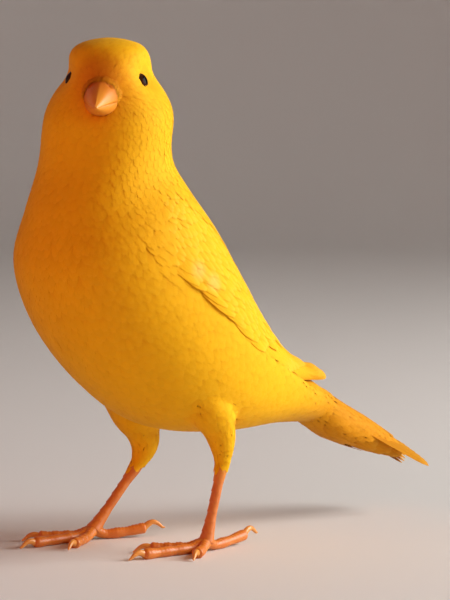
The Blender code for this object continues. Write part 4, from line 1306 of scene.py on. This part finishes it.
# The small coverts: rows (first, last, step), places in a row, where they end, and their sizes.
COVERT_ROWS = (-0.05, 0.60, 0.024)
COVERT_STEP = 0.07
COVERT_END = 0.47
COVERT_THINNING = 0.13
COVERT_REACH = (0.095, 0.125)
COVERT_HALF = (1.0, 1.3)
COVERT_ROOT_LIFT = -0.4
COVERT_TIP_LIFT = 0.09
COVERT_TIP_DROP = 0.06
COVERT_DROP = (0.4, 0.25)
COVERT_DOME = 0.03
WING_DOME = 0.10
# The bed: its upper and lower height, its ends from wrist to tip and between the edges, its grid.
BED_HEIGHTS = (-1.15, -1.5)
BED_ALONG = (0.0, 0.72)
BED_ACROSS = (0.05, 0.95)
BED_ROWS = 22
BED_COLUMNS = 9


def wing_edge_swell(u, v):
    """How far the wing stands up along its lower edge, most at a fold in its middle."""
    along = rise(u, *SWELL_FRONT) * rise(u, *SWELL_REAR)
    return rise(v, *SWELL_ACROSS) * along * (SWELL_HEIGHT + SWELL_FOLD_HEIGHT * bell(u, *SWELL_FOLD))


def wing_surface(side):
    """Place on a folded wing from (from wrist to tip, from upper to lower edge, height)."""
    def spot(u, v, height):
        t = WING_FRONT + (WING_REAR - WING_FRONT) * u
        upper, lower = wing_edges(t)
        angle = side * (upper + (lower - upper) * v)
        return lifted_points(WING, t, angle, height + wing_edge_swell(u, v))[0]
    return spot


def lay_on_surface(surface, root, tip, half):
    """Control patch of one feather between two places of a two-way surface."""
    root, tip = np.array(root, float), np.array(tip, float)
    spots, normals = np.zeros((2, 4, 3, 3))
    for i, share in enumerate(ALONG_NODES):
        spot = root + (tip - root) * share
        here = surface(*spot, 0.0)
        by_a = (surface(spot[0] + SURFACE_STEP, spot[1], 0.0) - here) / SURFACE_STEP
        by_b = (surface(spot[0], spot[1] + SURFACE_STEP, 0.0) - here) / SURFACE_STEP
        way = by_a * (tip - root)[0] + by_b * (tip - root)[1]
        across = unit(np.cross(unit(surface(*spot, 1.0) - here), way)) * half
        metric = np.array([[by_a @ by_a, by_a @ by_b], [by_a @ by_b, by_b @ by_b]])
        move = np.linalg.solve(metric, [by_a @ across, by_b @ across])
        for j, side in enumerate(ACROSS_NODES):
            edge = spot + move * side
            spots[i, j] = surface(*edge, 0.0)
            normals[i, j] = unit(surface(*edge, 1.0) - spots[i, j])
    return spots, normals


def spread(first, last, k):
    """A value part of the way from the first to the last, for numbers or places."""
    return tuple(np.atleast_1d(first) + (np.atleast_1d(last) - np.atleast_1d(first)) * k)


def lay_wing_coat(plumes, surface, templates, chance):
    """Soft small coverts from the wrist to beyond the middle of a folded wing."""
    for row, u in enumerate(np.arange(*COVERT_ROWS)):
        for v in np.arange(0.03 + COVERT_STEP / 2 * (row % 2), 1.0, COVERT_STEP):
            root = (u + chance.uniform(-0.006, 0.006), v + chance.uniform(-0.02, 0.02))
            if u > COVERT_END + COVERT_THINNING * chance.uniform(0, 1) * (1.2 - v):
                continue
            reach = chance.uniform(*COVERT_REACH)
            tip = (root[0] + reach, root[1] * 0.985 + chance.uniform(-0.01, 0.01))
            patch = lay_on_surface(surface, root, tip, chance.uniform(*COVERT_HALF))
            lift = COVERT_TIP_LIFT - COVERT_TIP_DROP * rise(tip[0], *COVERT_DROP)
            plumes.lay(pick(chance, templates), patch, COVERT_ROOT_LIFT, lift, COVERT_DOME,
                       chance.uniform(0, 1), root)


def make_wing(name, side, templates, material):
    """A folded wing of overlapping feathers."""
    surface = wing_surface(side)
    chance = np.random.default_rng(SEED + 5)
    plumes = Plumes(BIG_SOFTNESS)
    for tier, count, root_a, root_b, tip_a, tip_b, widths, lifts, kind in WING_TIERS:
        for k in (number / (count - 1) for number in range(count)):
            root = spread(root_a, root_b, k)
            tip_u, tip_v = spread(tip_a, tip_b, k)
            if tier == "primaries":
                tip_u += WING_TIP_REACH * sin(pi * min(1.0, 0.25 + k))
            tip_u += chance.uniform(-0.008, 0.008)
            patch = lay_on_surface(surface, root, (tip_u, tip_v), spread(*widths, k)[0])
            plumes.lay(pick(chance, templates[kind]), patch, WING_ROOT_LIFT, spread(*lifts, k)[0],
                       WING_DOME, chance.uniform(0, 1), root)
    lay_wing_coat(plumes, surface, templates["soft"], chance)
    return plumes.build(name, material)


def wing_bed_piece(name, side, material):
    """The thin closed bed under a wing's feathers."""
    surface = wing_surface(side)
    places = product(BED_HEIGHTS, np.linspace(*BED_ALONG, BED_ROWS), np.linspace(*BED_ACROSS, BED_COLUMNS))
    points = [surface(u, v, height) for height, u, v in places]
    faces = slab_faces(0, BED_ROWS, BED_COLUMNS)
    if side < 0:
        faces = [face[::-1] for face in faces]
    return make_mesh(name, points, *flat_corners(faces), material)


# Tail feathers and the coverts over and under their roots. Rows of coverts are (start, end).
VANE_TILT = 0.6
UNDER_TAIL_END = 30.5
TAIL_COVERTS = ((9.0, 22.0), (13.0, 26.0), (16.0, 29.0))
TAIL_COVERT_HALF = 2.0
TAIL_COVERT_ROOT_LIFT = -0.45
TAIL_COVERT_TIP_LIFT = 0.05
TAIL_COVERT_SHARES = (-0.9, 0.9, 6)
TAIL_COVERT_STAGGER = 0.08
TAIL_DOME = 0.15
RECTRIX_ROOT_SIDE = 0.3
RECTRIX_TIP_SIDE = 0.7
RECTRIX_ROOT_LIFT = 0.4
RECTRIX_ROOT_DROP = 0.2
RECTRIX_TIP_LIFT = 0.6


def core_surface(upper):
    """Place on the tail's core from (along, share across, height), on its upper or lower face."""
    table = np.array([(1.0, 5.4, -5.8, 2.6)] + list(TAIL_CORE) + [(36.0, 1.4, -1.1, 0.1)])

    def spot(along, share, height):
        half, low, high = (np.interp(along, table[:, 0], table[:, k]) for k in (1, 2, 3))
        turn = share * pi / 2
        reach = (high - low) / 2 + height
        level = (high + low) / 2 + (reach if upper else -reach) * cos(turn)
        return tail_place(along, (half + height) * sin(turn), level)
    return spot


def vane_surface(root, tip):
    """The tail's plane, tilted about one feather's line so that its left edge lies lower."""
    def spot(along, side, height):
        middle = root[1] + (tip[1] - root[1]) * (along - root[0]) / (tip[0] - root[0])
        return tail_place(along, side, height - VANE_TILT * (side - middle))
    return spot


def make_tail(templates, material):
    """Tail feathers in their fan, with coverts over and under their roots."""
    chance = np.random.default_rng(SEED + 9)
    plumes = Plumes(BIG_SOFTNESS)
    for (pair, length), side in product(enumerate(TAIL_LENGTHS), SIDES.values()):
        right = side < 0
        root = (RECTRIX_ROOT, side * (RECTRIX_ROOT_SIDE + RECTRIX_ROOT_STEP * pair))
        tip = (length + (RIGHT_TAIL_EXTRA if right else 0.0),
               side * (RECTRIX_TIP_SIDE + RECTRIX_TIP_STEP * pair))
        tip_lift = RECTRIX_TIP_LIFT - TAIL_STEP * pair - (TAIL_STEP / 2 if right else 0.0)
        patch = lay_on_surface(vane_surface(root, tip), root, tip, RECTRIX_HALF_WIDTH)
        plumes.lay(templates["flight"][pair % 3], patch, RECTRIX_ROOT_LIFT - RECTRIX_ROOT_DROP * pair,
                   tip_lift, TAIL_DOME, chance.uniform(0, 1), (0.5 + 0.08 * side * pair, 0.1))
    for upper, (row, (start, end)) in product((True, False), enumerate(TAIL_COVERTS)):
        for share in np.linspace(*TAIL_COVERT_SHARES):
            share = share + (TAIL_COVERT_STAGGER if row % 2 else -TAIL_COVERT_STAGGER)
            long_under = row == 2 and not upper and share > -0.3
            tip = (UNDER_TAIL_END if long_under else end + chance.uniform(-1.2, 1.2), share * 0.9)
            patch = lay_on_surface(core_surface(upper), (start, share), tip, TAIL_COVERT_HALF)
            plumes.lay(pick(chance, templates["soft" if long_under else "covert"]), patch,
                       TAIL_COVERT_ROOT_LIFT, TAIL_COVERT_TIP_LIFT, TAIL_DOME, chance.uniform(0, 1),
                       (0.5 + 0.4 * share, 0.3 + 0.1 * row + 0.3 * upper))
    return plumes.build("tail_feathers", material)


# Eyes: rows and sides of the ball; the lids' ring, its tube and the beads along it.
BALL_ROWS = 24
BALL_SIDES = 40
BALL_POLE = 0.02
LID_RING = 1.68
LID_OUT = 1.56
LID_RADIUS = 0.13
LID_BEAD = 0.015
LID_BEADS = 24
LID_STEPS = 72
LID_SIDES = 10


def facing_axes(facing):
    """Unit facing direction with its side and up directions."""
    facing = unit(facing)
    side = unit(np.cross(facing, UP))
    return facing, side, np.cross(side, facing)


def make_eye(name, centre, facing, material):
    """A wet dark eyeball, in rings from its front to its back."""
    facing, side, up = facing_axes(facing)
    rings = []
    for turn in np.linspace(BALL_POLE, pi - BALL_POLE, BALL_ROWS):
        outs = [side * cos(angle) + up * sin(angle) for angle in circle(BALL_SIDES)]
        rings.append([centre + (facing * cos(turn) + out * sin(turn)) * EYE_RADIUS for out in outs])
    return make_lofts(name, [rings], material)


def make_lids(name, centre, facing, material):
    """The narrow bare rim of both lids, in small beads."""
    facing, side, up = facing_axes(facing)
    points = []
    for angle in circle(LID_STEPS):
        out = side * cos(angle) + up * sin(angle)
        middle = centre + facing * LID_OUT + out * LID_RING
        radius = LID_RADIUS + LID_BEAD * cos(angle * LID_BEADS)
        points += [middle + (out * cos(turn) + facing * sin(turn)) * radius for turn in circle(LID_SIDES)]
    faces = [(a, d, c, b) for a, b, c, d in ring_faces(0, LID_STEPS, LID_SIDES, closed=True)]
    return make_mesh(name, points, *flat_corners(faces), material)


# Legs and feet, as the part has them, with scutes and pads.
FOOT_HEIGHT = 2.1
TOE_ROWS = 64
# The front toes' and the hind toe's start, rise, pads, claw length, claw's rise and claw's drop.
FRONT_TOE = (4.4, 0.0, 3, 4.4, 0.55, -0.75)
HIND_TOE = (3.0, 0.95, 2, 5.2, 1.15, -0.1)
TOE_RADIUS = 0.98
TOE_CENTRE = 1.02
TOE_ROOT_SWELL = 0.25
TOE_INSIDE = 0.3
PAD_SWELL = 0.14
LAST_PAD = (0.75, 0.2)
TOE_END = (0.94, 0.06)
TOE_END_TAPER = 0.45
CLAW_COVER = 0.85
CLAW_SINK = 0.35
CLAW_RADIUS = 0.68
CLAW_TIP_RADIUS = 0.06
CLAW_KEEL = 0.10
SHANK_ROWS = 90
SHANK_SIDES = 28
TOE_SIDES = 22
CLAW_SIDES = 18
CLAW_ROWS = 26
# Scutes: how many, or how many for each millimetre; how high; and how far round they reach.
SHANK_SCUTES = (9, 0.16, 1.4)
TOE_SCUTES = (0.95, 0.12, 1.3)
SHANK_SHARES = (0, 0.1, 0.2, 0.35, 0.7, 0.88, 1.0)
SHANK_RADII = (1.1, 1.35, 1.35, 1.04, 1.02, 1.3, 1.65)
SHANK_SINK = 2.5


def scutes(count, height, reach):
    """Radius change of overlapping plates on the top side of a limb."""
    def relief(share, angle):
        front = max(0.0, cos(angle)) ** 0.5 if cos(angle) > cos(reach) else 0.0
        return height * ((share * count % 1.0) ** 1.6 - 0.4) * front
    return relief


def toe_rings(foot, key):
    """Path and radii of one toe from inside the foot to the claw's root, its way and its length."""
    base = at(*foot["foot"], 0.0)
    way = at(*foot["toes"][key], 0.0) - base
    along, length = unit(way), float(np.linalg.norm(way))
    start, lift, pads, claw, _, _ = HIND_TOE if key == "1" else FRONT_TOE
    end = length - claw * CLAW_COVER
    path, radii = [], []
    for k in range(TOE_ROWS):
        reach = (end + TOE_INSIDE) * k / (TOE_ROWS - 1) - TOE_INSIDE
        share = np.clip((reach - start) / (end - start), 0, 1)
        low = TOE_CENTRE + lift * share ** 1.5
        at_root = 1 - smooth_step(reach / start)
        swell = PAD_SWELL * (1 - cos(2 * pi * pads * share)) / 2
        radius = TOE_RADIUS + swell + TOE_ROOT_SWELL * at_root
        radius += PAD_SWELL * rise(share, *LAST_PAD) - TOE_END_TAPER * rise(share, *TOE_END) ** 2
        path.append(base + along * reach + UP * (low + (FOOT_HEIGHT - 0.2 - low) * at_root))
        radii.append(radius)
    return path, radii, along, length


def make_leg(side_name, material):
    """Shank with scutes, foot and four toes with pads, overlapping at the foot."""
    foot = FEET[side_name]
    ankle = at(*foot["ankle"])
    ground = at(*foot["foot"], FOOT_HEIGHT - 0.1)
    top = ankle - unit(ground - ankle) * SHANK_SINK
    path = [top + (ground - top) * k / (SHANK_ROWS - 1) for k in range(SHANK_ROWS)]
    radii = np.interp(np.linspace(0, 1, SHANK_ROWS), SHANK_SHARES, SHANK_RADII)
    lofts = [tube_rings(path, radii, SHANK_SIDES, scutes(*SHANK_SCUTES))]
    density, height, around = TOE_SCUTES
    for key in foot["toes"]:
        toe_path, toe_radii, _, length = toe_rings(foot, key)
        plates = scutes(length * density, height, around)
        lofts.append(tube_rings(toe_path, toe_radii, TOE_SIDES, plates, floor=0.0))
    return make_lofts(f"leg_{side_name}_skin", lofts, material)


def make_claw(side_name, key, material):
    """One curved claw with a keel."""
    toe_path, _, along, _ = toe_rings(FEET[side_name], key)
    _, _, _, length, lift, drop = HIND_TOE if key == "1" else FRONT_TOE
    start = toe_path[-1] - along * CLAW_SINK
    path, radii = [], []
    for k in np.linspace(0, 1, CLAW_ROWS):
        spot = start + along * length * 0.9 * k
        spot[2] = start[2] + lift * sin(pi * min(1.0, k * 1.15)) + drop * k ** 2
        path.append(spot)
        radii.append(CLAW_RADIUS * (1 - k) ** 0.55 + CLAW_TIP_RADIUS)

    def keel(share, angle):
        return -CLAW_KEEL * abs(sin(angle)) ** 2 * (1 - share)
    rings = tube_rings(path, radii, CLAW_SIDES, keel, floor=0.03)
    return make_lofts(f"claw_{side_name}_{key}_horn", [rings], material)


# The floor's dish, in metres: flat radius, radius of the bend, height of the wall.
FLOOR_FLAT = 0.9
FLOOR_BEND = 0.6
FLOOR_WALL = 2.2
FLOOR_SIDES = 96
# Camera: distance and angles of the photograph, from the middle of the bird's stance.
CAMERA_AZIMUTH = 50.185
CAMERA_ELEVATION = 9.869
CAMERA_DISTANCE = 600.75
CAMERA_AIM = (16.11, 51.52)
CAMERA_ROLL = 0.166
FOCAL_PIXELS = 2874.55
PICTURE_HEIGHT = 600.0
SENSOR = 36.0
# Lights: way as shares of the picture's right, towards the camera and up; distance, size, power, colour.
LIGHTS = {
    "key": ((0.93, 0.04, 0.36), 0.75, 0.5, 9.0, (1.0, 0.985, 0.95)),
    "fill": ((-0.62, 0.78, 0.1), 0.8, 0.6, 1.95, (1.0, 0.13, 0.05)),
}
BIRD_MIDDLE = (0.0, 0.0, 0.055)
AMBIENT = (1.0, 0.96, 0.92, 1.0)
AMBIENT_STRENGTH = 0.03


def make_floor():
    """A pale dish: flat under the bird, rising to a plain backdrop on every side."""
    profile = [(FLOOR_FLAT, 0.0)]
    for turn in np.linspace(0, pi / 2, 14)[1:]:
        profile.append((FLOOR_FLAT + FLOOR_BEND * sin(turn), FLOOR_BEND * (1 - cos(turn))))
    profile.append((FLOOR_FLAT + FLOOR_BEND, FLOOR_WALL))
    points = [(0.0, 0.0, 0.0)]
    for radius, height in profile:
        points += [(radius * cos(angle), radius * sin(angle), height) for angle in circle(FLOOR_SIDES)]
    faces = [(0, 1 + k, 1 + (k + 1) % FLOOR_SIDES) for k in range(FLOOR_SIDES)]
    faces += [(b, a, d, c) for a, b, c, d in ring_faces(1, len(profile), FLOOR_SIDES)]
    mesh = bpy.data.meshes.new("floor")
    mesh.from_pydata(points, [], faces)
    mesh.shade_smooth()
    mesh.materials.append(grained_material("pale_floor", 30.0, 2.0, FLOOR_LIGHT, FLOOR_GREY, 0.7, 0.1))
    link("floor", mesh)


def view_axes():
    """Right, up and towards-camera directions of the photograph's view."""
    azimuth, elevation = radians(CAMERA_AZIMUTH), radians(CAMERA_ELEVATION)
    right = np.array([cos(azimuth), sin(azimuth), 0.0])
    toward = np.array([sin(azimuth) * cos(elevation), -cos(azimuth) * cos(elevation), sin(elevation)])
    return right, np.cross(toward, right), toward


def make_camera():
    """The photograph's camera, turned so that the bird sits in the frame without lens shift."""
    right, up, toward = view_axes()
    spot = Vector(to_metres(toward * CAMERA_DISTANCE))
    forward = (Vector(to_metres(right * CAMERA_AIM[0] + up * CAMERA_AIM[1])) - spot).normalized()
    data = bpy.data.cameras.new("camera")
    data.lens = FOCAL_PIXELS * SENSOR / PICTURE_HEIGHT
    data.sensor_width = SENSOR
    data.clip_start = 0.01
    data.clip_end = 10.0
    side = (Vector(right) - forward * forward.dot(Vector(right))).normalized()
    head = side.cross(forward)
    roll = radians(CAMERA_ROLL)
    side, head = side * cos(roll) + head * sin(roll), head * cos(roll) - side * sin(roll)
    camera = link("camera", data)
    turn = Matrix((side, head, -forward)).transposed()
    camera.matrix_world = Matrix.Translation(spot) @ turn.to_4x4()
    bpy.context.scene.camera = camera


def make_lights():
    """Soft key from the picture's right, warm fill from its left, pale surroundings."""
    right, up, toward = view_axes()
    middle = Vector(BIRD_MIDDLE)
    for name, (way, distance, size, power, colour) in LIGHTS.items():
        data = bpy.data.lights.new(name, "AREA")
        data.shape = "SQUARE"
        data.size = size
        data.energy = power
        data.color = colour
        light = link(name, data)
        way = right * way[0] + toward * way[1] + up * way[2]
        light.location = middle + Vector(unit(way)) * distance
        light.rotation_euler = (middle - light.location).to_track_quat("-Z", "Y").to_euler()
    world = bpy.data.worlds.new("studio")
    world.use_nodes = True
    background = world.node_tree.nodes["Background"]
    feed(world.node_tree, background, {"Color": AMBIENT, "Strength": AMBIENT_STRENGTH})
    bpy.context.scene.world = world
    bpy.context.scene.view_settings.view_transform = "Standard"


def fit(piece, slot, *nodes):
    """Tie a piece to the body and hide the solids that it stands for; slot, its finish, is not used."""
    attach(piece, "root")
    if nodes:
        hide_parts(*nodes)


def dress_plumage():
    """Skin, coat, wings and tail."""
    markings_and_painted_light = plumage_colour_and_painted_light()
    feathers, wing_feathers, tail_feathers = (
        feather_material(name, markings_and_painted_light, pale_edges)
        for name, pale_edges in (("plumage", 0.04), ("wing_feathers", 0.16), ("tail_feathers", 0.12)))
    down = skin_material(markings_and_painted_light)
    skin = blended_form("skin", -COAT_DEPTH, wing_bed, down)
    fit(skin, "plumage", "torso", "neck", "head", "thigh_left", "thigh_right")
    for piece in make_coat(Form(), feathers):
        fit(piece, "plumage")
    templates = {kind: make_templates(kind) for kind in ("flight", "covert", "soft")}
    for side_name, side in SIDES.items():
        node = "wing_" + side_name
        fit(make_wing(node + "_feathers", side, templates, wing_feathers), "wing_feathers", node)
        fit(wing_bed_piece(node + "_bed", side, down), "wing_feathers", node)
    fit(make_tail(templates, tail_feathers), "tail_feathers", "tail")
    fit(make_lofts("tail_core", [tail_core_rings(0.5)], down), "tail_feathers", "tail")


def dress_bare_parts():
    """Bill, eyes, legs and claws."""
    horn = bill_material()
    fit(bill_half("bill_upper_horn", 40, BILL_TIP, 1, horn), "bill_horn", "bill_upper")
    fit(bill_half("bill_lower_horn", 34, LOWER_BILL_TIP, -1, horn), "bill_horn", "bill_lower")
    eye = eye_material()
    # The lids' dark brown is painted shade round the eye.
    lid = grained_material("lid_painted_shade", 1800.0, 2.0, LID_PAINTED_SHADE, LID_PAINTED_SHADE_PALER, 0.5)
    for side_name, (centre, facing) in zip(SIDES, EYES):
        fit(make_eye(f"eye_{side_name}_ball", centre, facing, eye), "eye_gloss", "eye_" + side_name)
        fit(make_lids(f"eye_{side_name}_lids", centre, facing, lid), "leg_skin")
    legs = leg_material()
    claws = grained_material("claw_horn", 700.0, 3.0, CLAW_ROOT, CLAW_PALE, 0.3)
    for side_name, foot in FEET.items():
        toes = [f"toe_{side_name}_{key}" for key in foot["toes"]]
        fit(make_leg(side_name, legs), "leg_skin", "tarsus_" + side_name, *toes)
        for key in foot["toes"]:
            fit(make_claw(side_name, key, claws), "claw_horn", f"claw_{side_name}_{key}")


dress_plumage()
dress_bare_parts()
make_floor()
make_lights()
make_camera()
